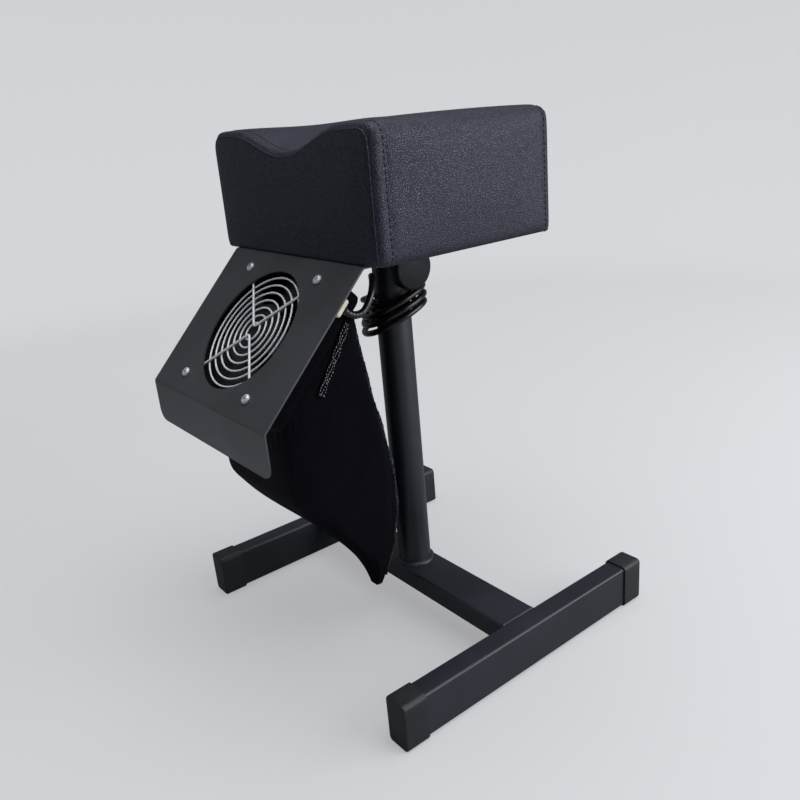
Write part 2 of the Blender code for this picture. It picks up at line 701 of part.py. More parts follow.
def bent_sheet(name):
    """The panel's outer face as rows across its width, with the lip's lower corners rounded off."""
    slope_y = -PANEL_SLOPE * math.cos(PANEL_ANGLE)
    slope_z = -PANEL_SLOPE * math.sin(PANEL_ANGLE)
    corners = [(PANEL_FLANGE, 0.0), (0.0, 0.0), (slope_y, slope_z), (slope_y, slope_z - PANEL_LIP)]
    path = filleted(corners, PANEL_BEND)
    tail = path.pop()
    rows = [(p, PANEL_WIDTH / 2) for p in path]
    for k in range(6):
        angle = k * math.pi / 10
        rise = PANEL_CORNER * (1 - math.sin(angle))
        inset = PANEL_CORNER * (1 - math.cos(angle))
        rows.append((Vector((tail.x, tail.y + rise)), PANEL_WIDTH / 2 - inset))
    mesh = bpy.data.meshes.new(name)
    points = [(sign * half, p.x, p.y) for p, half in rows for sign in (-1, 1)]
    faces = [(2 * i, 2 * i + 2, 2 * i + 3, 2 * i + 1) for i in range(len(rows) - 1)]
    mesh.from_pydata(points, [], faces)
    obj = bpy.data.objects.new(name, mesh)
    thick = obj.modifiers.new("sheet", "SOLIDIFY")
    thick.thickness = PANEL_SHEET
    thick.offset = -1.0
    thick.use_even_offset = True
    return obj


panel = bent_sheet("fan_panel")
place(panel, head, POWDER_COAT, (0.0, PANEL_TOP_Y, PANEL_TOP_Z - SEAT_HEIGHT))
opening = tool(rod("fan_opening", FAN_OPENING / 2, -4 * PANEL_SHEET, 2 * PANEL_SHEET, steps=48), fan)
combine(panel, opening, "DIFFERENCE")

fan_corners = [(sx * FAN_HOLES / 2, sy * FAN_HOLES / 2) for sy in (1, -1) for sx in (-1, 1)]
fan_screw_r = FAN_SCREW_DIAMETER / 2
fan_screw_hole = fan_screw_r + SEAT_GAP
for number, (x, y) in enumerate(fan_corners, 1):
    hole = rod(f"panel_hole_{number}", fan_screw_hole, -4 * PANEL_SHEET, 2 * PANEL_SHEET, steps=12)
    combine(panel, tool(hole, fan, (x, y, 0.0)), "DIFFERENCE")
for number, (x, y) in enumerate(panel_screws, 1):
    hole = rod(f"flange_hole_{number}", screw_hole, -4 * PANEL_SHEET, SEAT_GAP / 2, steps=12)
    combine(panel, tool(hole, head, (x, y, 0.0)), "DIFFERENCE")

# Fan housing: two square flanges on a round duct, with spokes and a seat for the motor at the back
duct_r = DUCT_BORE / 2
duct_outer = duct_r + DUCT_WALL


def fan_flange(name):
    loops = [rounded_rectangle(FAN_SIZE, FAN_SIZE, FAN_CORNER), circle(duct_r + DUCT_WALL / 2, 40)]
    return extruded(name, loops + [circle(fan_screw_hole, 12, centre) for centre in fan_corners], FAN_FLANGE)


housing = meshed(fan_flange("fan_housing"))
place(housing, fan, FAN_CASTING, (0.0, 0.0, FAN_FRONT_Z - FAN_FLANGE / 2))
back_flange = tool(meshed(fan_flange("back_flange")), fan, (0.0, 0.0, FAN_BACK_Z + FAN_FLANGE / 2))
duct_end = FAN_FLANGE / 4
duct = sleeve("duct", duct_outer, duct_r, FAN_BACK_Z + duct_end, FAN_FRONT_Z - duct_end, steps=40)
tool(duct, fan)
motor_seat = tool(rod("motor_seat", MOTOR_DIAMETER / 2, FAN_BACK_Z, FAN_BACK_Z + SPOKE_DEPTH, steps=32), fan)
spoke_reach = duct_r + DUCT_WALL / 2
spoke_z = FAN_BACK_Z + SPOKE_DEPTH / 2
spoke_size = (2 * spoke_reach, SPOKE_WIDTH, 0.8 * SPOKE_DEPTH)
spokes_across = tool(block("spokes_across", spoke_size), fan, (0.0, 0.0, spoke_z))
spokes_up = tool(block("spokes_up", spoke_size), fan, (0.0, 0.0, spoke_z), (0.0, 0.0, math.pi / 2))
terminal_face = FAN_SIZE / 2 - 0.5 * FAN_CORNER
terminal_root = 0.9 * math.sqrt(duct_outer**2 - TERMINAL_UP**2)
terminal = block("terminal_block", (terminal_face - terminal_root, TERMINAL_HEIGHT, TERMINAL_HEIGHT))
tool(terminal, fan, ((terminal_face + terminal_root) / 2, TERMINAL_UP, -TERMINAL_BACK))
bore_way = tool(rod("bore_way", duct_r + DUCT_WALL / 2, FAN_BACK_Z, FAN_FRONT_Z, steps=40), fan)
combine(terminal, bore_way, "DIFFERENCE")
combine(housing, duct, "UNION")
combine(housing, back_flange, "UNION")
combine(housing, spokes_across, "UNION")
combine(housing, spokes_up, "UNION")
combine(housing, motor_seat, "UNION")
combine(housing, terminal, "UNION")

# Motor on the seat, its two bearings, the shaft, and the impeller that turns on it
motor_back = SEAT_FACE_Z
motor_front = motor_back + MOTOR_LENGTH
motor_bore = MOTOR_BORE / 2
motor_r = MOTOR_DIAMETER / 2
motor = turned("fan_motor", [
    (motor_r - 0.0015, motor_front),
    (motor_r, motor_front - 0.0015),
    (motor_r, motor_back),
    (motor_bore, motor_back),
    (motor_bore, motor_front),
], closed=True)
place(motor, fan, MOTOR_STEEL)
shaft_r = SHAFT_DIAMETER / 2
for place_name, low in (
    ("front", motor_front - BEARING_LENGTH),
    ("rear", motor_back + SEAT_GAP),
):
    ring = sleeve(
        f"fan_bearing_{place_name}",
        motor_bore - SEAT_GAP,
        shaft_r + SEAT_GAP,
        low,
        low + BEARING_LENGTH - SEAT_GAP,
        steps=20,
    )
    place(ring, fan, BEARING_BRONZE)
shaft_front = HUB_FRONT_Z - HUB_FACE / 2
place(rod("fan_shaft", shaft_r, motor_back + 2 * SEAT_GAP, shaft_front, steps=16), fan, BRIGHT_ZINC)

hub_r = HUB_DIAMETER / 2
hub_back = HUB_FRONT_Z - HUB_DEPTH
hub_inner = HUB_FRONT_Z - HUB_FACE
impeller = turned("fan_impeller", [
    (0.0, HUB_FRONT_Z),
    (hub_r - HUB_EDGE, HUB_FRONT_Z),
    (hub_r - 0.3 * HUB_EDGE, HUB_FRONT_Z - 0.3 * HUB_EDGE),
    (hub_r, HUB_FRONT_Z - HUB_EDGE),
    (hub_r, hub_back),
    (hub_r - HUB_WALL, hub_back),
    (hub_r - HUB_WALL, hub_inner),
    (HUB_BOSS / 2, hub_inner),
    (HUB_BOSS / 2, motor_front + 4 * SEAT_GAP),
    (shaft_r + SEAT_GAP, motor_front + 4 * SEAT_GAP),
    (shaft_r + SEAT_GAP, shaft_front + SEAT_GAP),
    (0.0, shaft_front + SEAT_GAP),
], steps=40)
place(impeller, fan, FAN_PLASTIC)


def blade(number):
    """A twisted blade: across its span it falls from the hub's front to its back, and it sweeps outwards."""
    inner = hub_r - HUB_WALL / 2
    outer = duct_r - BLADE_TIP_GAP
    rows, columns = 5, 6
    points, faces = [], []
    for i in range(rows):
        radius = inner + (outer - inner) * i / (rows - 1)
        sweep = 0.25 * i / (rows - 1)
        for j in range(columns):
            across = j / (columns - 1)
            angle = BLADE_SPAN * (across - 0.5) + sweep + number * 2 * math.pi / BLADE_COUNT
            fall = HUB_DEPTH * (0.12 + 0.76 * across) - 0.1 * HUB_DEPTH * math.sin(math.pi * across)
            points.append((radius * math.cos(angle), radius * math.sin(angle), HUB_FRONT_Z - fall))
    for i in range(rows - 1):
        for j in range(columns - 1):
            k = i * columns + j
            faces.append((k, k + columns, k + columns + 1, k + 1))
    mesh = bpy.data.meshes.new("blade")
    mesh.from_pydata(points, [], faces)
    obj = bpy.data.objects.new("blade", mesh)
    thick = obj.modifiers.new("thick", "SOLIDIFY")
    thick.thickness = BLADE_THICKNESS
    thick.offset = 0.0
    return meshed(obj)


blades = tool(gathered("blades", [blade(k) for k in range(BLADE_COUNT)]), fan)
combine(impeller, blades, "UNION")

# Finger guard: rings welded behind two bent legs, whose eyes the fan's screws pass through
rings = []
for k in range(GUARD_RINGS):
    radius = GUARD_RADIUS - k * GUARD_PITCH
    sides = max(14, round(28 * math.sqrt(radius / GUARD_RADIUS)))
    points = [(x, y, GUARD_RING_Z) for x, y in circle(radius, sides)]
    rings.append(meshed(wire(f"ring_{k}", points, RING_WIRE, cyclic=True, bevel_resolution=1)))
guard = gathered("finger_guard", rings)
place(guard, fan, BRIGHT_ZINC)

eye_r = fan_screw_hole + LEG_WIRE / 2
legs = []
for way in (1, -1):
    reach = FAN_HOLES / 2 - eye_r * math.sqrt(0.5)
    corners = [(-reach, way * reach), (0.0, way * LEG_APEX), (reach, way * reach)]
    points = [(p.x, p.y, GUARD_LEG_Z) for p in filleted(corners, LEG_BEND, steps=6)]
    legs.append(meshed(wire(f"leg_{way}", points, LEG_WIRE, bevel_resolution=1)))
combine(guard, tool(gathered("guard_legs", legs), fan), "UNION")
eyes = []
for x, y in fan_corners:
    points = [(px, py, GUARD_LEG_Z) for px, py in circle(eye_r, 14, (x, y))]
    eyes.append(meshed(wire("eye", points, LEG_WIRE, cyclic=True, bevel_resolution=1)))
combine(guard, tool(gathered("guard_eyes", eyes), fan), "UNION")

# Fan screws through panel, guard and housing, with nuts at the back
screw_length = SEAT_GAP - FAN_BACK_Z + SEAT_GAP + NUT_HEIGHT + FAN_SCREW_SPARE
for number, (x, y) in enumerate(fan_corners, 1):
    screw = pan_screw(
        f"fan_screw_{number}", FAN_SCREW_DIAMETER, FAN_SCREW_HEAD, FAN_SCREW_HEAD_HEIGHT, screw_length
    )
    place(screw, fan, BRIGHT_ZINC, (x, y, SEAT_GAP))
    loops = [circle(NUT_ACROSS / math.sqrt(3), 6), circle(fan_screw_hole, 12)]
    nut = extruded(f"fan_nut_{number}", loops, NUT_HEIGHT)
    place(nut, fan, BRIGHT_ZINC, (x, y, FAN_BACK_Z - SEAT_GAP - NUT_HEIGHT / 2))

# Bag collar: a stitched cloth band round the fan's rear flange, closed by a strip of hook tape
collar_inner = FAN_SIZE + 2 * SEAT_GAP
collar_outer = collar_inner + 2 * COLLAR_CLOTH
collar_loops = [
    rounded_rectangle(collar_outer, collar_outer, COLLAR_CORNER),
    rounded_rectangle(collar_inner, collar_inner, FAN_CORNER),
]
collar = extruded("bag_collar", collar_loops, COLLAR_WIDTH)
collar_z = COLLAR_BACK_Z + COLLAR_WIDTH / 2
place(collar, fan, BAG_CLOTH, (0.0, 0.0, collar_z))
hook_strip = block("hook_strip", (HOOK_STRIP_THICKNESS, HOOK_STRIP_LENGTH, HOOK_STRIP_WIDTH))
rounded(hook_strip, HOOK_STRIP_THICKNESS / 3, segments=1)
strip_x = collar_outer / 2 + SEAT_GAP + HOOK_STRIP_THICKNESS / 2
strip_place = (strip_x, HOOK_STRIP_UP, -HOOK_STRIP_BACK)
place(hook_strip, fan, HOOK_TAPE, strip_place, (HOOK_STRIP_LEAN, 0.0, 0.0))


# Dust bag: hangs from the collar in front of the post, its mouth square and its end drawn to a tip
def bezier(a, b, c, d, t):
    s = 1 - t
    return s**3 * a + 3 * s**2 * t * b + 3 * s * t**2 * c + t**3 * d


def spaced(points, shares):
    """Points at these shares of a line's whole length."""
    lengths = np.concatenate([[0.0], np.cumsum(np.linalg.norm(np.diff(points, axis=0), axis=1))])
    return np.stack([np.interp(shares * lengths[-1], lengths, points[:, k]) for k in range(2)], axis=1)


def bag_rings(count=14, around=24):
    """Sections between a front line, which turns under at a corner, and a rear line, both down to the tip."""
    down = np.array([-math.cos(PANEL_ANGLE), -math.sin(PANEL_ANGLE)])
    behind = np.array([math.sin(PANEL_ANGLE), -math.cos(PANEL_ANGLE)])
    middle = np.array([PANEL_TOP_Y, PANEL_TOP_Z]) + FAN_DOWN * down - (COLLAR_BACK_Z - SEAT_GAP) * behind
    mouth = collar_outer / 2
    front, rear = middle + mouth * down, middle - mouth * down
    corner = np.array([-BAG_CORNER_AHEAD, BAG_CORNER_HEIGHT])
    tip = np.array([-BAG_TIP_AHEAD, BAG_TIP_HEIGHT])
    tip_front = tip - np.array([BAG_TIP_DEPTH / 2, 0.0])
    tip_rear = tip + np.array([BAG_TIP_DEPTH / 2, 0.0])
    under = (
        corner,
        corner + np.array([BAG_UNDER_RUN, -BAG_UNDER_DROP]),
        tip_front + np.array([-BAG_TIP_AWAY, BAG_TIP_LIFT]),
        tip_front,
    )
    back = (
        rear,
        rear - np.array([BAG_REAR_IN, BAG_REAR_DROP]),
        tip_rear + np.array([BAG_TIP_SWEEP, BAG_TIP_RISE]),
        tip_rear,
    )
    steps = np.linspace(0.0, 1.0, 40)
    shares = np.linspace(0.0, 1.0, count)
    front_line = spaced(np.array([front] + [bezier(*under, t) for t in steps]), shares)
    rear_line = spaced(np.array([bezier(*back, t) for t in steps]), shares)
    rings = []
    for t, ahead, behind_it in zip(shares, front_line, rear_line):
        half_width = BAG_TIP_HALF + (mouth - BAG_TIP_HALF) * (1 - t**BAG_TAPER)
        half_depth = np.linalg.norm(behind_it - ahead) / 2
        along = (behind_it - ahead) / (2 * half_depth)
        centre = (ahead + behind_it) / 2
        power = 6.0 - 0.62 * t
        outline = superellipse(half_width, half_depth, power, around)
        rings.append([(x, centre[0] + d * along[0], centre[1] + d * along[1]) for x, d in outline])
    return rings


bag = loft("dust_bag", bag_rings())
place(bag, head, BAG_CLOTH, (0.0, 0.0, -SEAT_HEIGHT))

# Connector: the cream moulding on the cord's end, pushed on the fan's terminals
connector = block("fan_connector", (CONNECTOR_DEPTH, CONNECTOR_WIDTH, CONNECTOR_LENGTH))
rounded(connector, CONNECTOR_DEPTH / 8, segments=2)
connector_x = terminal_face + SEAT_GAP + CONNECTOR_DEPTH / 2
place(connector, fan, CREAM_PLASTIC, (connector_x, TERMINAL_UP, -TERMINAL_BACK))


# Cord: wound loosely down the post in an inner layer and up again in an outer one
def winding_point(turn):
    """A point of the winding after some turns, clockwise seen from above, relative to the post's axis."""
    half_step = WINDING_INNER_LOOPS
    angle = WINDING_START - 2 * math.pi * turn
    lean = math.cos(angle - WINDING_HIGH_SIDE)
    inner_r = POST_DIAMETER / 2 + CORD_DIAMETER / 2 + WINDING_INNER_EASE
    outer_r = WINDING_OUTER_RADIUS + WINDING_ECCENTRIC * lean + WINDING_WANDER * math.sin(1.9 * turn)
    out = ease((turn - half_step) / 0.5)
    radius = inner_r + (outer_r - inner_r) * out
    down = min(turn, half_step) * WINDING_PITCH + WINDING_SKIP * ease((turn - 0.4 * half_step) / 0.6)
    down += 0.5 * WINDING_PITCH * out
    up = max(turn - half_step - 0.2, 0.0) * WINDING_PITCH
    up += WINDING_SKIP * ease((turn - half_step - 0.5 * WINDING_OUTER_LOOPS) / 0.6)
    tilt = WINDING_TILT + (WINDING_OUTER_TILT - WINDING_TILT) * out
    height = WINDING_TOP - down + up + tilt * radius * lean
    return np.array([radius * math.cos(angle), radius * math.sin(angle), height])


def ease(t):
    """A smooth step from 0 to 1."""
    t = min(max(t, 0.0), 1.0)
    return t * t * (3 - 2 * t)


last_turn = WINDING_INNER_LOOPS + WINDING_OUTER_LOOPS + WINDING_END_TURN / (2 * math.pi)
turns = np.linspace(0.0, last_turn, round(last_turn * POINTS_PER_LOOP) + 1)
winding = np.array([winding_point(t) for t in turns])


def straight_end(first, second):
    """The point one cord diameter before the first, in line with the curve there."""
    way = first - second
    return first + way / np.linalg.norm(way) * CORD_DIAMETER


winding = np.concatenate([
    [straight_end(winding[0], winding[1])], winding, [straight_end(winding[-1], winding[-2])],
])


def least_gap(points, diameter, apart):
    """The least distance between the surfaces of stretches of one cord that lie further apart along it."""
    lengths = np.concatenate([[0.0], np.cumsum(np.linalg.norm(np.diff(points, axis=0), axis=1))])
    fine = np.linspace(0.0, lengths[-1], 8 * len(points))
    dense = np.stack([np.interp(fine, lengths, points[:, k]) for k in range(3)], axis=1)
    gaps = np.linalg.norm(dense[:, None] - dense[None], axis=2)
    gaps[np.abs(fine[:, None] - fine[None]) < apart] = np.inf
    return float(gaps.min()) - diameter


def length_of(points):
    return float(np.linalg.norm(np.diff(points, axis=0), axis=1).sum())


place(wire("cord_winding", winding, CORD_DIAMETER, bevel_resolution=1), stand, CORD_VINYL)

# Lead: from the connector's back it loops up behind the collar and over to where the winding starts
lead_y = PANEL_TOP_Y - (FAN_DOWN - TERMINAL_UP) * math.cos(PANEL_ANGLE)
lead_z = PANEL_TOP_Z - (FAN_DOWN - TERMINAL_UP) * math.sin(PANEL_ANGLE)
exit_depth = TERMINAL_BACK + CONNECTOR_LENGTH / 2 + SEAT_GAP
behind_y, behind_z = math.sin(PANEL_ANGLE), -math.cos(PANEL_ANGLE)
cord_exit = np.array([
    connector_x + CONNECTOR_CORD_OUT,
    lead_y + exit_depth * behind_y,
    lead_z + exit_depth * behind_z,
])
run_in = (winding[0] - winding[1]) / CORD_DIAMETER
lead_end = winding[0] + run_in * SEAT_GAP
lead = smooth_route([
    cord_exit,
    cord_exit + np.array([0.0, 0.005 * behind_y, 0.005 * behind_z]),
    (0.0669, -0.0869, 0.3232),
    (0.0668, -0.0788, 0.3246),
    (0.0658, -0.0710, 0.3334),
    (0.0611, -0.0643, 0.3413),
    (0.0502, -0.0562, 0.3448),
    (0.0378, -0.0476, 0.3428),
    (0.0231, -0.0362, 0.3332),
    (0.0087, -0.0303, 0.3196),
    lead_end + run_in * 0.013 + np.array([0.0, 0.0, 0.0014]),
    lead_end + run_in * 0.005,
    lead_end,
], 0.006)
place(wire("cord_lead", lead, CORD_DIAMETER, bevel_resolution=2), stand, CORD_VINYL)

# Tail: from the winding's end it turns down behind the post and carries the plug
run_out = (winding[-1] - winding[-2]) / CORD_DIAMETER
tail_start = winding[-1] + run_out * SEAT_GAP
plug_top = np.array([
    PLUG_OUT * math.cos(PLUG_TURN),
    PLUG_OUT * math.sin(PLUG_TURN),
    WINDING_TOP - PLUG_DROP,
])
tail = smooth_route([
    tail_start,
    tail_start + run_out * 0.006,
    (-0.0330, 0.0200, 0.3085),
    (-0.0368, 0.0272, 0.3005),
    plug_top + np.array([0.0, 0.0, 0.028]),
    plug_top + np.array([0.0, 0.0, 0.014]),
    plug_top,
], 0.006)
place(wire("cord_tail", tail, CORD_DIAMETER, bevel_resolution=2), stand, CORD_VINYL)

# Plug: a flat two-pin moulding, hanging by its neck with the pins down
plug_steps = ((0.0, PLUG_NECK, PLUG_NECK), (0.3, 0.42 * PLUG_WIDTH, 0.85 * PLUG_THICKNESS),
              (0.55, 0.85 * PLUG_WIDTH, PLUG_THICKNESS), (1.0, PLUG_WIDTH, PLUG_THICKNESS))
plug_rings = [
    [(x, y, -share * PLUG_LENGTH) for x, y in superellipse(width / 2, depth / 2, 2.0 + 3 * share, 20)]
    for share, width, depth in plug_steps
]
plug_place = plug_top - np.array([0.0, 0.0, SEAT_GAP])
place(loft("cord_plug", plug_rings), stand, CORD_VINYL, plug_place, (0.0, 0.0, PLUG_TURN))
for side, sign in (("a", -1), ("b", 1)):
    across = sign * PIN_SPACING / 2
    pin_place = plug_place + np.array([
        across * math.cos(PLUG_TURN), across * math.sin(PLUG_TURN), -PLUG_LENGTH - SEAT_GAP,
    ])
    pin = rod(f"plug_pin_{side}", PIN_DIAMETER / 2, -PIN_LENGTH, 0.0, steps=12)
    place(pin, stand, BRIGHT_ZINC, pin_place)

whole_cord = np.concatenate([lead, winding, tail])
print(f"cord length {length_of(whole_cord):.3f} m")
print(f"winding: least gap to itself {1000 * least_gap(winding, CORD_DIAMETER, 3 * CORD_DIAMETER):.2f} mm")
whole_gap = least_gap(whole_cord, CORD_DIAMETER, 3 * CORD_DIAMETER)
print(f"whole cord: least gap to itself {1000 * whole_gap:.2f} mm")
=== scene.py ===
import json
import math

import bmesh
import bpy
import numpy as np
from mathutils import Matrix, Vector
from mathutils.bvhtree import BVHTree


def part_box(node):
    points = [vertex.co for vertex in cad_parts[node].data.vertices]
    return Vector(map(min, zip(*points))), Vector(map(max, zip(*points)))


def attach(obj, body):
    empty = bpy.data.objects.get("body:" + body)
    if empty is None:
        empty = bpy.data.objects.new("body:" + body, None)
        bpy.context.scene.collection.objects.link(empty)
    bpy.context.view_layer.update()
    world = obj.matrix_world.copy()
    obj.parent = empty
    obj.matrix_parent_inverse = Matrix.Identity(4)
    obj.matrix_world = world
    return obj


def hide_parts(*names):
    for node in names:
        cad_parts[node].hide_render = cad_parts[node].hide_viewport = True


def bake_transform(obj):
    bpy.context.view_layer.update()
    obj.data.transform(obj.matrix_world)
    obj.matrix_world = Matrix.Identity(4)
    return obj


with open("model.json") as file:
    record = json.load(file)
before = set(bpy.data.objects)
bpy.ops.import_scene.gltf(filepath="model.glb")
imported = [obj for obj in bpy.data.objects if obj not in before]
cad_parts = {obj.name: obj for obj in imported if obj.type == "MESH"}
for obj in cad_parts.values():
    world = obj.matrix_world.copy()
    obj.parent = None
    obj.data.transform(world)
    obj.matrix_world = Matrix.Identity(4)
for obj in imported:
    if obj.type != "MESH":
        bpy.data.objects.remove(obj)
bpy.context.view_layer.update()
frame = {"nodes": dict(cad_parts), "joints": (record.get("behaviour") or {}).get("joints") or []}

scene = bpy.context.scene
scene.view_settings.view_transform = "Standard"


# Studio floor: a sheet of matte pale grey paper that rises into a wall all round, as a photographer's cove does.
# It is stage, so it rides on nothing. Its paleness is for the camera; it throws little light back at the object.
def linear(colour):
    """An sRGB hex colour as linear red, green and blue, with alpha 1."""
    srgb = np.array([int(colour[i:i + 2], 16) for i in (0, 2, 4)]) / 255
    light = np.where(srgb <= 0.04045, srgb / 12.92, ((srgb + 0.055) / 1.055) ** 2.4)
    return (*light.tolist(), 1.0)


def fill(tree, node, inputs):
    """Fills a node's inputs with values or with links."""
    for name, value in inputs.items():
        if isinstance(value, bpy.types.NodeSocket):
            tree.links.new(value, node.inputs[name])
        else:
            node.inputs[name].default_value = value


def add_node(tree, kind, inputs, output, stops=(), **settings):
    """Adds one shader node, sets its properties, fills its inputs, and gives the output asked for. Stops, where there
    are any, are the tones of its colour ramp and their places from 0 to 1."""
    made = tree.nodes.new(f"ShaderNode{kind}")
    for name, value in settings.items():
        setattr(made, name, value)
    for i, (tone, place) in enumerate(stops):
        stop = made.color_ramp.elements[i]
        stop.color, stop.position = linear(tone), place
    fill(tree, made, inputs)
    return made.outputs[output]


def new_material(name, sockets):
    """A Principled material with these values on the shader's own sockets, its node tree and its shader."""
    material = bpy.data.materials.new(name)
    material.use_nodes = True
    tree = material.node_tree
    shader = tree.nodes["Principled BSDF"]
    fill(tree, shader, sockets)
    return material, tree, shader


def put_in_scene(name, made, material, sharp=None):
    """An object from a bmesh, shaded smooth except at edges sharper than an angle in degrees, where one is given."""
    mesh = bpy.data.meshes.new(name)
    made.to_mesh(mesh)
    made.free()
    if sharp is not None:
        mesh.shade_smooth()
        mesh.set_sharp_from_angle(angle=math.radians(sharp))
    mesh.materials.append(material)
    obj = bpy.data.objects.new(name, mesh)
    scene.collection.objects.link(obj)
    return obj


def skin(name, grid, material, ends=False, sharp=35):
    """A mesh over rows of points, each closed into a ring, or over several such grids of one size. Its ends may be
    capped. Points that coincide, as at a pole, are merged, and faces turned outwards."""
    rows, columns = grid.shape[-3:-1]
    index = np.arange(grid.size // 3).reshape(-1, rows, columns)
    wrapped = np.concatenate([index, index[..., :1]], axis=2)
    quads = np.stack([
        wrapped[:, :-1, :-1], wrapped[:, :-1, 1:], wrapped[:, 1:, 1:], wrapped[:, 1:, :-1],
    ], axis=-1)
    faces = quads.reshape(-1, 4).tolist()
    if ends:
        faces += index[:, 0, ::-1].tolist() + index[:, -1].tolist()
    rough = bpy.data.meshes.new(name)
    rough.from_pydata(grid.reshape(-1, 3).tolist(), [], faces)
    made = bmesh.new()
    made.from_mesh(rough)
    bpy.data.meshes.remove(rough)
    bmesh.ops.remove_doubles(made, verts=made.verts, dist=1e-7)
    bmesh.ops.recalc_face_normals(made, faces=made.faces)
    return put_in_scene(name, made, material, sharp)


def quarter(count):
    """Angles from 0 to a right angle."""
    return np.linspace(0.0, math.pi / 2, count)


def full_turn(count):
    """Angles at even steps round a circle, up to the step before the first one comes again."""
    return np.arange(count) * 2 * math.pi / count


def points_at(*coordinates):
    """Points from their coordinates, which are broadcast against one another."""
    return np.stack(np.broadcast_arrays(*coordinates), axis=-1)


paper, paper_tree, paper_shader = new_material("pale_paper_floor", {
    "Roughness": 0.9, "Specular IOR Level": 0.2, "Emission Color": linear("e8e8e9"),
})
paper_where = add_node(paper_tree, "TexCoord", {}, "Object")
paper_cloud = add_node(paper_tree, "TexNoise", {"Vector": paper_where, "Scale": 1000 / 900}, "Fac")
paper_seen = add_node(paper_tree, "Math", {
    0: add_node(paper_tree, "LightPath", {}, "Is Camera Ray"),
    1: add_node(paper_tree, "LightPath", {}, "Is Transmission Ray"),
}, "Value", operation="MAXIMUM")
paper_away = add_node(paper_tree, "VectorMath", {0: paper_where}, "Value", operation="LENGTH")
# Painted light: for the camera the paper glows more the farther it lies from the object, standing in for light on the
# far floor and wall.
paper_painted_far_light = add_node(paper_tree, "MapRange", {
    "Value": paper_away, "From Min": 0.2, "From Max": 1.7, "To Min": 0.43, "To Max": 0.6,
}, "Result")
paper_lift = add_node(paper_tree, "Math", {0: paper_seen, 1: paper_painted_far_light}, "Value", operation="MULTIPLY")
fill(paper_tree, paper_shader, {
    "Base Color": add_node(
        paper_tree, "ValToRGB", {"Fac": paper_cloud}, "Color", stops=(("939597", 0.0), ("999b9d", 1.0)),
    ),
    "Emission Strength": paper_lift,
})
COVE_FLAT = 1.5
COVE_RADIUS = 2.6
COVE_HEIGHT = 2.4
climb = quarter(24)
cove_r = np.concatenate([[0.0, 0.5, 1.0], COVE_FLAT + (COVE_RADIUS - COVE_FLAT) * np.sin(climb)])
cove_z = np.concatenate([[0.0, 0.0, 0.0], COVE_HEIGHT * (1 - np.cos(climb))])
cove_turn = full_turn(96)
cove = points_at(cove_r[:, None] * np.cos(cove_turn), cove_r[:, None] * np.sin(cove_turn), cove_z[:, None])
cove_floor = skin("cove_floor", cove, paper)

# Light: a wide soft box overhead, a tall one on the right that gives the cushion's side its sheen, a dim room, so
# that faces turned to the left front stay dark, and a small card on the floor that lifts the panel's lip.
world = bpy.data.worlds.new("studio")
scene.world = world
world.use_nodes = True
room = world.node_tree
fill(room, room.nodes["Background"], {"Color": linear("dfe6f2"), "Strength": 0.25})


def soft_box(name, place, aim, size, power, spread=180):
    """A rectangular lamp at a place, turned towards its aim, that throws its light over a spread of degrees."""
    lamp = bpy.data.lights.new(name, "AREA")
    lamp.shape = "RECTANGLE"
    lamp.size, lamp.size_y = size
    lamp.energy = power
    lamp.spread = math.radians(spread)
    lamp.color = linear("fafbff")[:3]
    obj = bpy.data.objects.new(name, lamp)
    obj.visible_camera = False
    scene.collection.objects.link(obj)
    toward = Vector(aim) - Vector(place)
    obj.matrix_world = Matrix.Translation(place) @ toward.to_track_quat("-Z", "Y").to_matrix().to_4x4()


soft_box("overhead_box", (0.2, 0.15, 1.9), (0.0, 0.0, 0.2), (1.6, 1.6), 26)
soft_box("right_box", (1.3, 0.85, 0.7), (0.0, 0.0, 0.3), (1.6, 1.3), 27)
soft_box("left_front_box", (-1.3, -1.3, 0.9), (0.0, 0.0, 0.3), (0.9, 0.9), 1.0)
soft_box("floor_card", (-0.03, -0.3, 0.015), (0.0, -0.175, 0.25), (0.3, 0.08), 0.16, spread=70)


# Camera: placed where the photograph was taken from, with its slight roll.
# It stands off the post's foot, and its turn, tilt and lens were solved on the fan's screws and the base.
def corners(node):
    """The low and high corners of a node's box, its size and its middle."""
    low, high = (np.array(corner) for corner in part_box(node))
    return low, high, high - low, (low + high) / 2


CAMERA_FROM_POST = np.array([0.5628, -0.4226, 0.4678])
CAMERA_TURN = math.radians(53.196)
CAMERA_TILT = math.radians(19.957)
CAMERA_ROLL = math.radians(-5.122)
CAMERA_FOCAL = 793.2 / 800
post_low, post_high, _, post_middle = corners("post")
post_axis = np.array([*post_middle[:2], 0.0])
back = np.array([
    math.sin(CAMERA_TURN) * math.cos(CAMERA_TILT),
    -math.cos(CAMERA_TURN) * math.cos(CAMERA_TILT),
    math.sin(CAMERA_TILT),
])
level = np.array([math.cos(CAMERA_TURN), math.sin(CAMERA_TURN), 0.0])
upright = np.cross(back, level)
right = math.cos(CAMERA_ROLL) * level + math.sin(CAMERA_ROLL) * upright
upward = -math.sin(CAMERA_ROLL) * level + math.cos(CAMERA_ROLL) * upright
camera_data = bpy.data.cameras.new("photo_camera")
camera_data.sensor_width = 36.0
camera_data.lens = 36.0 * CAMERA_FOCAL
camera_data.clip_start = 0.01
camera = bpy.data.objects.new("photo_camera", camera_data)
scene.collection.objects.link(camera)
turn = np.eye(4)
turn[:3, :3] = np.stack([right, upward, back], axis=1)
turn[:3, 3] = CAMERA_FROM_POST + post_axis
camera.matrix_world = Matrix(turn.tolist())
scene.camera = camera


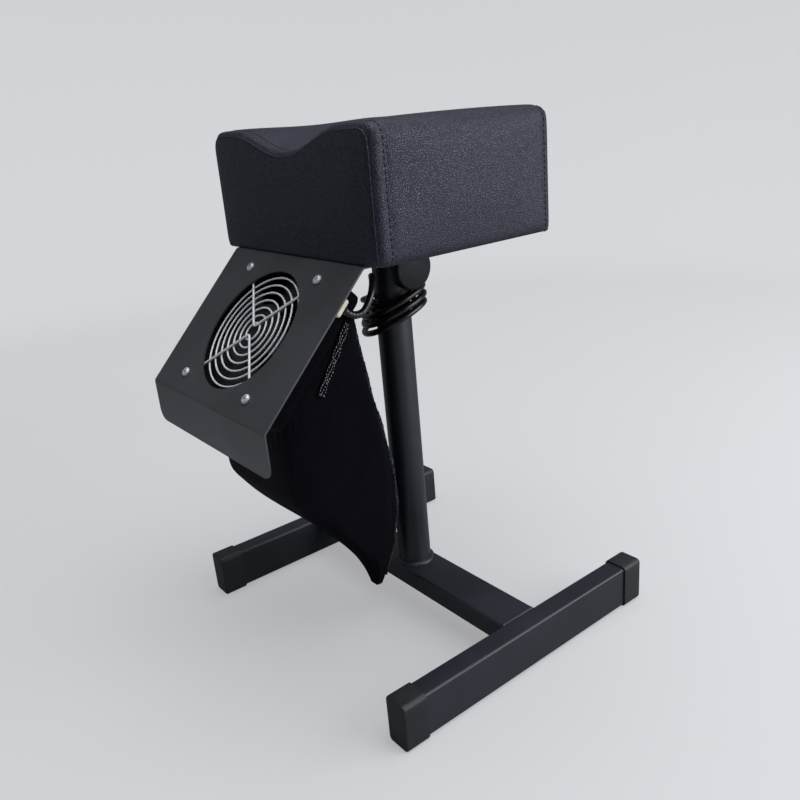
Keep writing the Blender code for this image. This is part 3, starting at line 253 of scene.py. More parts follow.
# Base tubes: two runners and a cross tube of rectangular steel tube, welded and powder coated in satin black.
# Baked polyester powder leaves a fine orange-peel skin with a soft gloss, cloudy where it has been handled.
def finish(
    name, sockets, tones, gloss, grain_mm, depth_mm, cloud_mm,
    stretch=(1.0, 1.0, 1.0), strength=0.3, detail=2.0, places=(0.35, 0.7),
):
    """A surface with a fine bump of one grain size, and wider clouds that carry its colour and its gloss between
    two values each. Sizes are in millimetres, and stretch draws both patterns out along an axis. Strength and
    detail are the bump's, and places say where in the clouds the two colours stand."""
    material, tree, shader = new_material(name, sockets)
    where = add_node(tree, "TexCoord", {}, "Object")
    drawn = add_node(tree, "Mapping", {"Vector": where, "Scale": stretch}, "Vector")
    grain = add_node(tree, "TexNoise", {"Vector": drawn, "Scale": 1000 / grain_mm, "Detail": detail}, "Fac")
    cloud = add_node(tree, "TexNoise", {"Vector": drawn, "Scale": 1000 / cloud_mm, "Detail": 6.0}, "Fac")
    fill(tree, shader, {
        "Normal": add_node(tree, "Bump", {
            "Strength": strength, "Distance": depth_mm / 1000, "Height": grain,
        }, "Normal"),
        "Roughness": add_node(tree, "MapRange", {
            "Value": cloud, "From Min": 0.3, "From Max": 0.7, "To Min": gloss[0], "To Max": gloss[1],
        }, "Result"),
        "Base Color": add_node(tree, "ValToRGB", {"Fac": cloud}, "Color", stops=zip(tones, places)),
    })
    return material


base_coat = finish(
    "satin_black_powder_coat", {"IOR": 1.5, "Specular IOR Level": 0.5},
    ("1a1d24", "21252d"), (0.34, 0.46), grain_mm=0.9, depth_mm=0.1, cloud_mm=60.0,
)
TUBE_CORNER = 0.0022


def rounded_outline(width, height, radius):
    """Corner arcs of a rectangle in turn, nine points to each."""
    angle = quarter(9)
    quarters = []
    for k, (sx, sy) in enumerate(((1, 1), (-1, 1), (-1, -1), (1, -1))):
        centre = np.array([sx * (width / 2 - radius), sy * (height / 2 - radius)])
        around = angle + k * math.pi / 2
        quarters.append(centre + radius * points_at(np.cos(around), np.sin(around)))
    return np.concatenate(quarters)


def stood(outline, middle, axis, station):
    """An outline stood square to X or Y at a station along it: level by its first coordinate and upright by its
    second, about a middle."""
    ring = np.tile(middle, (len(outline), 1))
    ring[:, axis] = station
    ring[:, 1 - axis] += outline[:, 0]
    ring[:, 2] += outline[:, 1]
    return ring


def settle(piece, body, slot, *nodes):
    """Says which body a piece rides on, and which CAD nodes it stands in for, if any. The slot is not used."""
    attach(piece, body)
    if nodes:
        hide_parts(*nodes)


def bar_along(axis, name, node):
    """A node's box as a bar with rounded long edges, run along X or Y."""
    low, high, size, middle = corners(node)
    outline = rounded_outline(size[1 - axis], size[2], TUBE_CORNER)
    stations = np.linspace(low[axis], high[axis], 12)
    grid = np.array([stood(outline, middle, axis, station) for station in stations])
    settle(skin(name, grid, base_coat, ends=True), "stand", "powder_coat", node)


bar_along(1, "runner_left_tube", "runner_left")
bar_along(1, "runner_right_tube", "runner_right")
bar_along(0, "cross_bar", "cross_tube")


# Welds: a hand-run bead round each end of the cross tube, where it meets the runner, coated over with the tube.
# The welder's weave leaves a close even ripple along the bead, and its width wanders a little.
def run_along(line):
    """The distance run along a line at each of its points."""
    return np.concatenate([[0.0], np.cumsum(np.linalg.norm(np.diff(line, axis=0), axis=1))])


def at_runs(line, runs):
    """Points at these distances along a line."""
    return np.stack([np.interp(runs, run_along(line), column) for column in line.T], axis=1)


def evenly(points, step, closed=False):
    """Points an even step apart along a line through these ones, which may close on itself."""
    line = np.concatenate([points, points[:1]]) if closed else np.array(points)
    length = run_along(line)[-1]
    found = at_runs(line, np.linspace(0.0, length, max(4, round(length / step)) + 1))
    return found[:-1] if closed else found


def unit(rows):
    """Rows of vectors, each brought to a length of one."""
    return rows / np.linalg.norm(rows, axis=1)[:, None]


def tube(path, radius, aside, closed=False, sides=12):
    """A round wire: circles of a radius carried along a path, square to it. Each circle starts from the part of
    the aside direction that is square to the path. The radius may change along the path."""
    ahead = np.roll(path, -1, axis=0) - np.roll(path, 1, axis=0) if closed else np.gradient(path, axis=0)
    ahead = unit(ahead)
    side = unit(aside - np.sum(aside * ahead, axis=1)[:, None] * ahead)
    over = np.cross(ahead, side)
    angle = full_turn(sides)
    ring = np.cos(angle)[:, None] * side[:, None] + np.sin(angle)[:, None] * over[:, None]
    grid = path[:, None] + np.reshape(radius, (-1, 1, 1)) * ring
    return np.concatenate([grid, grid[:1]]) if closed else grid


UPRIGHT = np.eye(3)
ALONG_X, ALONG_Y, ALONG_Z = UPRIGHT
WELD_RADIUS = 0.0016
WELD_SUNK = 0.0018
WELD_STEP = 0.0005
WELD_RIPPLE = 0.0022
WELD_WANDER = 0.007
cross_low, cross_high, cross_size, cross_middle = corners("cross_tube")
weld_outline = rounded_outline(cross_size[1] - WELD_SUNK, cross_size[2] - WELD_SUNK, TUBE_CORNER)
weld_line = evenly(weld_outline, WELD_STEP, closed=True)
weld_run = np.arange(len(weld_line)) * WELD_STEP
weld_radius = WELD_RADIUS * (
    1 + 0.14 * np.sin(2 * math.pi * weld_run / WELD_RIPPLE) + 0.12 * np.sin(weld_run / WELD_WANDER)
)
for name, end_x, inward in (("weld_left", cross_low[0], 1), ("weld_right", cross_high[0], -1)):
    weld_path = stood(weld_line, cross_middle, 0, end_x + inward * 0.25 * WELD_RADIUS)
    weld_grid = tube(weld_path, weld_radius, ALONG_X, closed=True)
    settle(skin(name, weld_grid, base_coat, sharp=80), "stand", "powder_coat")

# End caps: push-on covers moulded in black polythene, a little larger than the tube, with softly rounded ends.
# A moulded skin is matte with a fine even grain.
cap_plastic = finish(
    "moulded_polythene", {"IOR": 1.5}, ("16181c", "1d1f24"), (0.46, 0.58),
    grain_mm=0.7, depth_mm=0.2, cloud_mm=18.0,
)
CAP_EDGE = 0.0018
CAP_LIP = 0.0017
CAP_CORNER = 0.0042
CAP_FACE = 0.002
LEAST_CORNER = 0.0004


def end_cap(node, outward):
    """Outlines shrunk round an edge radius at the closed end, carried straight to the open lip."""
    low, high, size, middle = corners(node)
    outer_y, inner_y = (low[1], high[1]) if outward < 0 else (high[1], low[1])
    arc = quarter(7)
    inset = np.concatenate([[size[0] / 2 - CAP_FACE], CAP_EDGE * (1 - np.sin(arc)), [0.0, 0.0, 0.0003, CAP_LIP]])
    setback = np.concatenate([[0.0], CAP_EDGE * (1 - np.cos(arc)), [0.008]])
    stations = np.concatenate([outer_y - outward * setback, inner_y + outward * np.array([0.0004, 0.0, 0.0])])
    rings = []
    for shrink, station in zip(inset, stations):
        corner = max(CAP_CORNER - shrink, LEAST_CORNER)
        outline = rounded_outline(size[0] - 2 * shrink, size[2] - 2 * shrink, corner)
        rings.append(stood(outline, middle, 1, station))
    settle(skin(f"{node}_cover", np.array(rings), cap_plastic, ends=True), "stand", "cap_plastic", node)


for cap_end, cap_way in (("front", -1), ("rear", 1)):
    for cap_side in ("left", "right"):
        end_cap(f"end_cap_{cap_end}_{cap_side}", cap_way)


# Post: round steel tube set upright on the cross tube in a ring of weld, in the same powder coat.
# The ring is rippled as the other welds are, and the edge of the tube's mouth is broken.
def turned(profile, count, centre, axes):
    """A profile of (radius, height) points turned about an axis; axes holds two side vectors and the axis."""
    profile = np.array(profile)
    angle = full_turn(count)
    side = np.cos(angle)[:, None] * axes[0] + np.sin(angle)[:, None] * axes[1]
    return centre + profile[:, :1, None] * side + profile[:, 1:, None] * np.array(axes[2])


POST_RADIUS = 0.016
POST_BORE = 0.0145
POST_BREAK = 0.0004
POST_COLUMNS = 144
WELD_RING = 0.0034
post_bottom, post_top = post_low[2], post_high[2]
bead = quarter(7)
post_profile = [(POST_BORE, post_top), (POST_RADIUS - POST_BREAK, post_top), (POST_RADIUS, post_top - POST_BREAK)]
post_profile += [(POST_RADIUS, z) for z in np.linspace(post_top - 0.02, post_bottom + WELD_RING + 0.004, 10)]
post_profile += [(POST_RADIUS + WELD_RING * math.sin(a), post_bottom + WELD_RING * math.cos(a)) for a in bead]
post_grid = turned(post_profile, POST_COLUMNS, post_axis, UPRIGHT)
ring_turn = full_turn(POST_COLUMNS)
ripple = 1 + 0.012 * np.sin(44 * ring_turn) + 0.02 * np.sin(5 * ring_turn + 1.0)
on_ring = post_grid[1 - len(bead):, :, :2]
on_ring[:] = post_axis[:2] + (on_ring - post_axis[:2]) * ripple[:, None]
settle(skin("post_tube", post_grid, base_coat), "stand", "powder_coat", "post")


# Bush, stem and guide: a black nylon bush in the post's mouth, and the drawn steel tube that slides in it.
# Nylon moulds with a smooth satin skin; drawn tube keeps fine lines along its length.
def dress(node, material):
    """Gives a CAD node's own solid a finish."""
    slots = frame["nodes"][node].data.materials
    slots.clear()
    slots.append(material)


nylon = finish(
    "moulded_nylon", {"IOR": 1.53, "Specular IOR Level": 0.22}, ("0d0f14", "13151b"), (0.45, 0.58),
    grain_mm=1.5, depth_mm=0.1, cloud_mm=15.0,
)
dress("post_bush", nylon)
dress("stem_guide", nylon)
drawn_steel = finish(
    "drawn_steel", {"Metallic": 1.0}, ("85888c", "989ba0"), (0.24, 0.42),
    grain_mm=0.8, depth_mm=0.02, cloud_mm=8.0, stretch=(1.0, 1.0, 0.03),
)
STEM_WALL = 0.0015
stem_low, stem_high, stem_size, _ = corners("stem")
stem_r = stem_size[0] / 2
stem_profile = [(stem_r - STEM_WALL, stem_high[2]), (stem_r, stem_high[2])]
stem_profile += [(stem_r, z) for z in np.linspace(stem_high[2] - 0.01, stem_low[2], 12)]
stem_profile += [(stem_r - STEM_WALL, stem_low[2])]
stem_tube = skin("stem_tube", turned(stem_profile, 96, post_axis, UPRIGHT), drawn_steel, ends=True)
settle(stem_tube, "head", "bare_steel", "stem")

# Clamp: a boss welded on the post's right side, and a smooth round knob of black nylon on a plated stud.
# Zinc plate is bright but a little cloudy.
bright_zinc = finish(
    "bright_zinc_plate", {"Metallic": 1.0}, ("bfc2c6", "cdd0d4"), (0.2, 0.36),
    grain_mm=0.9, depth_mm=0.02, cloud_mm=3.0,
)
dress("clamp_boss", base_coat)
dress("clamp_stud", bright_zinc)
knob_low, _, knob_size, knob_middle = corners("clamp_knob")
knob_r = knob_size[2] / 2
knob_length = knob_size[0]
knob_centre = np.array([knob_low[0], *knob_middle[1:]])
TO_THE_RIGHT = np.array([ALONG_Y, ALONG_Z, ALONG_X])
KNOB_EDGE = 0.0025
KNOB_DOME = 0.0018
KNOB_BORE = 0.0042
knob_arc = quarter(8)
dome_r = np.linspace(0.0, knob_r - KNOB_EDGE, 9)
knob_profile = [(r, knob_length - KNOB_DOME * (r / (knob_r - KNOB_EDGE)) ** 2) for r in dome_r]
knob_profile += [
    (knob_r - KNOB_EDGE * (1 - math.sin(a)), knob_length - KNOB_DOME - KNOB_EDGE * (1 - math.cos(a)))
    for a in knob_arc[1:]
]
knob_profile += [(knob_r - KNOB_EDGE * (1 - math.cos(a)), KNOB_EDGE * (1 - math.sin(a))) for a in knob_arc]
knob_profile += [(KNOB_BORE, 0.0)]
knob = skin("knob_moulding", turned(knob_profile, 96, knob_centre, TO_THE_RIGHT), nylon, ends=True)
settle(knob, "clamp", "knob_plastic", "clamp_knob")

# Plate, board and wood screws: a coated steel plate under a birch plywood board, held by plated pan-head screws.
# Rotary-cut birch shows long pale streaks along its face grain.
dress("mounting_plate", base_coat)
plywood = finish(
    "birch_plywood", {"IOR": 1.5}, ("9a7748", "c7a774"), (0.55, 0.7),
    grain_mm=1.2, depth_mm=0.1, cloud_mm=6.0, stretch=(0.06, 1.0, 1.0),
)
dress("cushion_board", plywood)
for number in range(1, 5):
    dress(f"plate_screw_{number}", bright_zinc)
for number in range(1, 4):
    dress(f"panel_screw_{number}", bright_zinc)

# Cushion: a cut foam saddle under a sewn cover of black leatherette, drawn down round the board and stapled under it.
# Two saddle-shaped panels close the front and back, and one strip runs up the left side, over the top and down the
# right. Embossed vinyl shows rounded pebbles with dull creases between them; drawn here a little coarser than real.
PEBBLE_MM = 1.6
# The specular tint paints a bluish cast into the cover's reflections, standing in for bluish light.
leatherette, hide_tree, hide_shader = new_material("grained_leatherette", {
    "IOR": 1.5, "Specular Tint": linear("e4e7ff"),
    "Sheen Weight": 0.03, "Sheen Roughness": 0.4, "Sheen Tint": linear("a9b4d4"),
})
hide_where = add_node(hide_tree, "TexCoord", {}, "Object")
hide_warp = add_node(hide_tree, "TexNoise", {"Vector": hide_where, "Scale": 1000 / 5, "Detail": 2.0}, "Color")
hide_shift = add_node(hide_tree, "VectorMath", {
    0: hide_warp, 1: (0.0012, 0.0012, 0.0012),
}, "Vector", operation="MULTIPLY")
hide_bent = add_node(hide_tree, "VectorMath", {0: hide_where, 1: hide_shift}, "Vector")
hide_cells = add_node(hide_tree, "TexVoronoi", {
    "Vector": hide_bent, "Scale": 1000 / PEBBLE_MM,
}, "Distance", feature="DISTANCE_TO_EDGE")
hide_pebble = add_node(hide_tree, "MapRange", {
    "Value": hide_cells, "From Min": 0.0, "From Max": 0.3,
}, "Result", interpolation_type="SMOOTHSTEP")
hide_folds = add_node(hide_tree, "TexNoise", {"Vector": hide_where, "Scale": 1000 / 40, "Detail": 3.0}, "Fac")
hide_fine = add_node(hide_tree, "Bump", {"Strength": 0.6, "Distance": 0.0003, "Height": hide_pebble}, "Normal")
fill(hide_tree, hide_shader, {
    "Normal": add_node(hide_tree, "Bump", {
        "Strength": 0.2, "Distance": 0.0012, "Height": hide_folds, "Normal": hide_fine,
    }, "Normal"),
    "Roughness": add_node(hide_tree, "MapRange", {"Value": hide_pebble, "To Min": 0.6, "To Max": 0.39}, "Result"),
    "Specular IOR Level": add_node(hide_tree, "MapRange", {
        "Value": hide_pebble, "To Min": 0.42, "To Max": 0.68,
    }, "Result"),
    # Painted shade: the creases between the pebbles are coloured darker than the pebble tops.
    "Base Color": add_node(
        hide_tree, "ValToRGB", {"Fac": hide_pebble}, "Color", stops=(("090a0f", 0.0), ("1b1d28", 1.0)),
    ),
})

PAD_WIDTH = 0.2345
PAD_DEPTH = 0.1815
PAD_ASIDE = -0.0015
PAD_BEHIND = 0.0015
PAD_SHOULDER = 0.0985
PAD_TROUGH = 0.0180
PAD_TROUGH_WIDTH = 0.160
PAD_TOP_CORNER = 0.010
PAD_EDGE = 0.0095
VOXEL = 0.0042
SEWN_INSET = -0.0006
BASE_POINTS = 25
LONG_ROWS = 17
pad_low, _, _, pad_box_middle = corners("cushion")
pad_middle = pad_box_middle + [PAD_ASIDE, PAD_BEHIND, 0.0]
pad_foot = np.array([*pad_middle[:2], pad_low[2]])


def saddle(x):
    """Height of the cushion's top above its underside: a cosine trough between two shoulders."""
    dip = 0.5 + 0.5 * np.cos(np.minimum(np.abs(x) / (PAD_TROUGH_WIDTH / 2), 1.0) * math.pi)
    return PAD_SHOULDER - PAD_TROUGH * dip


def saddle_outline(inset):
    """The cover panel's outline in X and Z, shrunk by an inset: right side, saddle, left side, then underside.
    The underside isn't shrunk, because the cover is drawn down to the board's lower face."""
    half = PAD_WIDTH / 2 - inset
    r = PAD_TOP_CORNER
    arc = quarter(7)
    top_x = np.linspace(half - r, -half + r, 41)
    shoulder = saddle(half - r) - inset
    right_side = points_at(half, np.linspace(0.0, shoulder - r - 0.002, 12))
    right_corner = points_at(half - r + r * np.cos(arc), shoulder - r + r * np.sin(arc))
    right_end = np.concatenate([right_side, right_corner])
    top = points_at(top_x, saddle(top_x) - inset)[1:-1]
    base = points_at(np.linspace(-half, half, BASE_POINTS + 2)[1:-1], 0.0)
    return np.concatenate([right_end, top, right_end[::-1] * [-1, 1], base])


front_y, back_y = pad_middle[1] - PAD_DEPTH / 2, pad_middle[1] + PAD_DEPTH / 2
edge_turn = quarter(7)
edge_inset = SEWN_INSET + PAD_EDGE * (1 - np.sin(edge_turn))
edge_y = PAD_EDGE * (1 - np.cos(edge_turn))
pad_inset = np.concatenate([edge_inset, np.full(LONG_ROWS, SEWN_INSET), edge_inset[::-1]])
pad_y = np.concatenate([
    front_y + edge_y, np.linspace(front_y + 0.01, back_y - 0.01, LONG_ROWS), back_y - edge_y[::-1],
])
pad_rings = np.array([stood(saddle_outline(inset), pad_foot, 1, y) for inset, y in zip(pad_inset, pad_y)])
cushion = skin("saddle_cushion", pad_rings, leatherette, ends=True, sharp=180)
remesh = cushion.modifiers.new("even_faces", "REMESH")
remesh.mode = "VOXEL"
remesh.voxel_size = VOXEL
remesh.use_smooth_shade = True


def applied(obj):
    """Replaces an object's mesh by what its modifiers make of it, and drops the modifiers."""
    bpy.context.view_layer.update()
    made = bpy.data.meshes.new_from_object(obj.evaluated_get(bpy.context.evaluated_depsgraph_get()))
    obj.modifiers.clear()
    obj.data = made


def read_points(mesh, normals=False):
    """A mesh's points, or their normals, as one array."""
    found = np.empty(len(mesh.vertices) * 3, np.float32)
    source, field = (mesh.vertex_normals, "vector") if normals else (mesh.vertices, "co")
    source.foreach_get(field, found)
    return found.reshape(-1, 3).astype(float)


applied(cushion)
MOST_SWELL = 0.0024
SWELL_STEPS = 20
RIM_HELD = 0.006
sewn = read_points(cushion.data)
# The sewn edges of the front and back panels and the stapled rim hold, and the cover swells between them
from_panel = np.minimum(sewn[:, 1] - front_y, back_y - sewn[:, 1])
rim = sewn[:, 2] - pad_low[2] < RIM_HELD
edges = (from_panel > 0.0008) & (from_panel < PAD_EDGE)
held = cushion.vertex_groups.new(name="held")
held.add(np.flatnonzero(rim | edges).tolist(), 1.0, "REPLACE")
cloth = cushion.modifiers.new("cover", "CLOTH")
for setting, value in (
    ("vertex_group_mass", "held"), ("use_pressure", True), ("uniform_pressure_force", 4.0), ("quality", 6),
    ("tension_stiffness", 25), ("compression_stiffness", 25), ("bending_stiffness", 6),
):
    setattr(cloth.settings, setting, value)
cloth.settings.effector_weights.gravity = 0.0
cloth.point_cache.frame_start = 1
cloth.point_cache.frame_end = SWELL_STEPS
for step in range(1, SWELL_STEPS + 1):
    scene.frame_set(step)
applied(cushion)
scene.frame_set(1)
moved = read_points(cushion.data) - sewn
far = np.linalg.norm(moved, axis=1)
capped = sewn + moved * np.minimum(1.0, MOST_SWELL / np.maximum(far, 1e-9))[:, None]
cushion.data.vertices.foreach_set("co", capped.astype(np.float32).ravel())
finer = cushion.modifiers.new("finer", "SUBSURF")
finer.levels = 1
finer.render_levels = 1
applied(cushion)

# Topstitching draws the strip in along two lines, and the underside shows the board inside the stapled rim
STITCH_FRONT = front_y + 0.0125
STITCH_BACK = back_y - 0.0085
STITCH_PULL = 0.0011
STITCH_SPREAD = 0.0022
RIM_WIDTH = 0.026
RIM_RISE = 0.004
RIM_RAMP = 0.004
cover = read_points(cushion.data)
cover_normal = read_points(cushion.data, normals=True)
on_strip = np.clip((cover[:, 2] - pad_low[2] - 0.001) / 0.003, 0.0, 1.0)
on_strip = on_strip * np.clip(1 - np.abs(cover_normal[:, 1]), 0.0, 1.0)
from_stitch = np.minimum(np.abs(cover[:, 1] - STITCH_FRONT), np.abs(cover[:, 1] - STITCH_BACK))
cover -= cover_normal * (STITCH_PULL * on_strip * np.exp(-(from_stitch / STITCH_SPREAD) ** 2))[:, None]
under = (cover_normal[:, 2] < -0.6) & (cover[:, 2] < pad_low[2] + 0.004)
inside = (np.array([PAD_WIDTH, PAD_DEPTH]) / 2 - np.abs(cover[:, :2] - pad_middle[:2])).min(axis=1)
rise = np.clip((inside - RIM_WIDTH) / RIM_RAMP, 0.0, 1.0)
cover[under, 2] = pad_low[2] - 0.0002 + RIM_RISE * rise[under]

# Use has pressed the left shoulder down between the seams, and the left side leans out towards the rim
SHOULDER_SAG = 0.004
SIDE_LEAN = 0.0022
upper = np.clip((cover[:, 2] - pad_low[2]) / PAD_SHOULDER, 0.0, 1.0)
leftward = np.clip((pad_middle[0] - cover[:, 0]) / (PAD_WIDTH / 2), 0.0, 1.0)
deep = np.clip((cover[:, 1] - front_y) / PAD_DEPTH, 0.0, 1.0)
cover[:, 2] -= SHOULDER_SAG * upper ** 3 * leftward * np.sin(math.pi * deep) ** 2
cover[:, 0] -= SIDE_LEAN * leftward ** 6 * (1 - upper)
cushion.data.vertices.foreach_set("co", cover.astype(np.float32).ravel())
cushion.data.update()
cushion.data.shade_smooth()
settle(cushion, "head", "leatherette", "cushion")

# Stitches and seams of the cover: black bonded thread in short stitches along both topstitch lines, and the fold
# of leatherette where each saddle-shaped panel is sewn to the strip. Twisted thread has a soft shine.
thread = finish(
    "bonded_black_thread", {"IOR": 1.5}, ("08080a", "121216"), (0.5, 0.65), grain_mm=0.5, depth_mm=0.2, cloud_mm=4.0,
)
STITCH_PITCH = 0.0046
STITCH_LENGTH = 0.0034
THREAD = 0.0009
cover_tree = BVHTree.FromPolygons(cover.tolist(), [list(face.vertices) for face in cushion.data.polygons])


def laid_on_cover(line, y):
    """Points of an outline in X and Z, put at a depth in Y and then on the cover, with its normals there."""
    found = [cover_tree.find_nearest(Vector(point))[:2] for point in stood(line, pad_foot, 1, y)]
    return np.array([list(place) for place, _ in found]), np.array([list(normal) for _, normal in found])


seam_outline = saddle_outline(0.0)[:-BASE_POINTS]
stitches = []
for stitch_y in (STITCH_FRONT, STITCH_BACK):
    place, normal = laid_on_cover(evenly(seam_outline, STITCH_PITCH), stitch_y)
    ahead = unit(np.gradient(place, axis=0))
    along = np.linspace(-1.0, 1.0, 7)
    path = place[:, None] + along[:, None] * ahead[:, None] * STITCH_LENGTH / 2
    path = path + normal[:, None] * (0.25 * THREAD - 0.6 * THREAD * along[:, None] ** 4)
    round_it = full_turn(8)
    across = np.cross(normal, ahead)
    ring = np.cos(round_it)[:, None] * across[:, None] + np.sin(round_it)[:, None] * normal[:, None]
    thick = THREAD / 2 * np.sqrt(np.clip(1.04 - along ** 6, 0.0, 1.0))
    stitches.append(path[:, :, None] + thick[:, None, None] * ring[:, None])
topstitch = skin("cover_topstitch", np.concatenate(stitches), thread, ends=True, sharp=80)
settle(topstitch, "head", "leatherette")
SEAM_RADIUS = 0.0008
SEAM_STEP = 0.003
SEAM_INSET = 0.0042
SEAM_BACK = 0.0014
panel_edge = evenly(saddle_outline(SEAM_INSET)[:-BASE_POINTS], SEAM_STEP)
for name, seam_y in (("front_panel_seam", front_y + SEAM_BACK), ("back_panel_seam", back_y - SEAM_BACK)):
    seam_path, seam_normal = laid_on_cover(panel_edge, seam_y)
    seam_grid = tube(seam_path - 0.3 * SEAM_RADIUS * seam_normal, SEAM_RADIUS, ALONG_Y, sides=10)
    settle(skin(name, seam_grid, leatherette, ends=True, sharp=80), "head", "leatherette")

# Fan panel: one steel sheet, folded twice and punched, in the same powder coat, with its cut edges a little broken.
# Its colour is painted paler than the tubes' coat, as light that its broad face catches, and its gloss is a little
# duller.
panel_coat_painted_lit = finish(
    "panel_powder_coat_painted_paler", {"IOR": 1.5, "Specular IOR Level": 0.4},
    ("38393d", "414246"), (0.42, 0.56), grain_mm=0.9, depth_mm=0.12, cloud_mm=45.0,
)


def smooth_copy(name, node, material, body, slot, edge=0.0):
    """A CAD node's own shape with its loose triangles merged, so that curved walls shade smoothly. An edge above
    nothing rounds the sharp edges by that much."""
    made = bmesh.new()
    made.from_mesh(frame["nodes"][node].data)
    bmesh.ops.remove_doubles(made, verts=made.verts, dist=2e-6)
    bmesh.ops.dissolve_limit(
        made, angle_limit=math.radians(0.5), verts=made.verts, edges=made.edges, delimit={"NORMAL"})
    piece = put_in_scene(name, made, material, sharp=30)
    if edge:
        bevel = piece.modifiers.new("rounded_edges", "BEVEL")
        bevel.width = edge
        bevel.segments = 2
        bevel.limit_method = "ANGLE"
        bevel.angle_limit = math.radians(40)
        bevel.harden_normals = True
    settle(piece, body, slot, node)


smooth_copy("folded_panel", "fan_panel", panel_coat_painted_lit, "head", "powder_coat", edge=0.0003)

# Finger guard: steel wire rings spot-welded behind two bent legs, bright zinc plated. The fan's screws hold its eyes
# between the panel and the fan. Plated wire is pale and even, without the sparkle of polished metal.
wire_zinc = finish(
    "plated_wire", {"Metallic": 0.15, "IOR": 1.5}, ("e4e6e8", "eeeff0"), (0.4, 0.5),
    grain_mm=0.6, depth_mm=0.02, cloud_mm=5.0,
)
spin = next(joint for joint in frame["joints"] if joint["name"] == "fan_spin")
fan_centre = np.array(spin["pos_m"])
fan_out = np.array(spin["axis"]) / np.linalg.norm(spin["axis"])
fan_across = ALONG_X
fan_up = np.cross(fan_out, fan_across)
FAN_AXES = np.stack([fan_across, fan_up, fan_out])
RING_COUNT = 7
RING_LARGEST = 0.0505
RING_PITCH = 0.0071
RING_WIRE = 0.0016
LEG_WIRE = 0.0020
LEG_DEPTH = -0.0028
RING_DEPTH = -0.0043
LEG_APEX = 0.0034
LEG_BEND = 0.003
FAN_SCREWS = 0.105
EYE_RADIUS = 0.0033


def on_fan(points):
    """Points given across, up and out of the fan's panel, in the row's frame."""
    return fan_centre + points @ FAN_AXES


def circle_path(radius, centre, depth):
    """A circle of 96 points about a centre, at one depth."""
    angle = full_turn(96)
    return points_at(centre[0] + radius * np.cos(angle), centre[1] + radius * np.sin(angle), depth)


def leg_path(way):
    """Two straight runs to a pair of screws, joined by an arc at the apex."""
    reach = FAN_SCREWS / 2 - EYE_RADIUS * math.sqrt(0.5)
    slope = np.array([reach, reach - LEG_APEX])
    slope /= np.linalg.norm(slope)
    half_angle = math.atan2(slope[0], slope[1])
    centre_v = LEG_APEX + LEG_BEND / math.sin(half_angle)
    sweep = math.pi / 2 - half_angle
    arc = np.linspace(-sweep, sweep, 13)
    bend = points_at(LEG_BEND * np.sin(arc), centre_v - LEG_BEND * np.cos(arc))
    ends = np.array([[-reach, reach], [reach, reach]])
    line = np.concatenate([
        ends[0] + np.linspace(0, 1, 12)[:-1, None] * (bend[0] - ends[0]), bend,
        bend[-1] + np.linspace(0, 1, 12)[1:, None] * (ends[1] - bend[-1]),
    ])
    return points_at(line[:, 0], way * line[:, 1], LEG_DEPTH)


def joined(name, pieces, material):
    """One object from the meshes of several, which are removed."""
    made = bmesh.new()
    for piece in pieces:
        made.from_mesh(piece.data)
        bpy.data.objects.remove(piece)
    return put_in_scene(name, made, material)


OUT_OF_FAN = ALONG_Z
screw_places = [(sx * FAN_SCREWS / 2, sy * FAN_SCREWS / 2) for sy in (1, -1) for sx in (-1, 1)]
ring_grids = [
    tube(circle_path(RING_LARGEST - k * RING_PITCH, (0.0, 0.0), RING_DEPTH), RING_WIRE / 2, OUT_OF_FAN, closed=True)
    for k in range(RING_COUNT)
]
eye_grids = [
    tube(circle_path(EYE_RADIUS, place, LEG_DEPTH), LEG_WIRE / 2, OUT_OF_FAN, closed=True) for place in screw_places
]
leg_grids = [tube(leg_path(way), LEG_WIRE / 2, OUT_OF_FAN) for way in (1, -1)]
guard = joined("wire_guard", [
    skin("guard_rings", on_fan(np.array(ring_grids + eye_grids)), wire_zinc, sharp=80),
    skin("guard_legs", on_fan(np.array(leg_grids)), wire_zinc, ends=True, sharp=60),
], wire_zinc)
settle(guard, "head", "bright_zinc", "finger_guard")

# Fan: a die-cast aluminium housing painted black, a moulded impeller on the motor's shaft, and the motor on its spokes.
# Thin paint over a casting is dull with a fine sandy grain; the impeller's plastic has a film of dust.
fan_paint = finish(
    "black_casting_paint", {"IOR": 1.5, "Specular IOR Level": 0.3},
    ("08080a", "0d0d10"), (0.5, 0.65), grain_mm=0.6, depth_mm=0.15, cloud_mm=25.0,
)
impeller_plastic = finish(
    "moulded_impeller_plastic", {"IOR": 1.53, "Specular IOR Level": 0.3},
    ("0a0a0c", "121215"), (0.45, 0.62), grain_mm=1.0, depth_mm=0.05, cloud_mm=12.0,
)
bronze = finish(
    "sintered_bronze", {"Metallic": 1.0}, ("8c6837", "a67f4a"), (0.3, 0.55), grain_mm=0.6, depth_mm=0.1, cloud_mm=2.0,
)
smooth_copy("fan_frame", "fan_housing", fan_paint, "head", "fan_casting")
smooth_copy("fan_blades", "fan_impeller", impeller_plastic, "fan_rotor", "fan_plastic")
smooth_copy("motor_can", "fan_motor", drawn_steel, "head", "bare_steel")
dress("fan_bearing_front", bronze)
dress("fan_bearing_rear", bronze)
dress("fan_shaft", bright_zinc)

# Fan screws and nuts: plated pan heads with a cross recess on the panel's face, and hexagon nuts at the back.
# The plating of a rolled head is paler and duller than a turned one, and its recess stays dark.
head_zinc = finish(
    "rolled_head_plate", {"Metallic": 0.35, "IOR": 1.5}, ("cfd1d4", "e2e4e6"), (0.28, 0.42),
    grain_mm=0.9, depth_mm=0.02, cloud_mm=3.0,
)
HEAD_RADIUS = 0.004
HEAD_HEIGHT = 0.0026
HEAD_LIFT = 0.0003
SHANK_RADIUS = 0.002
RECESS_HALF = 0.0024
RECESS_ARM = 0.0008
RECESS_DEPTH = 0.0019
RECESS_RING = 0.0027
screw_points = read_points(frame["nodes"]["fan_screw_1"].data)
screw_tip = float(((screw_points - fan_centre) @ fan_out).min())


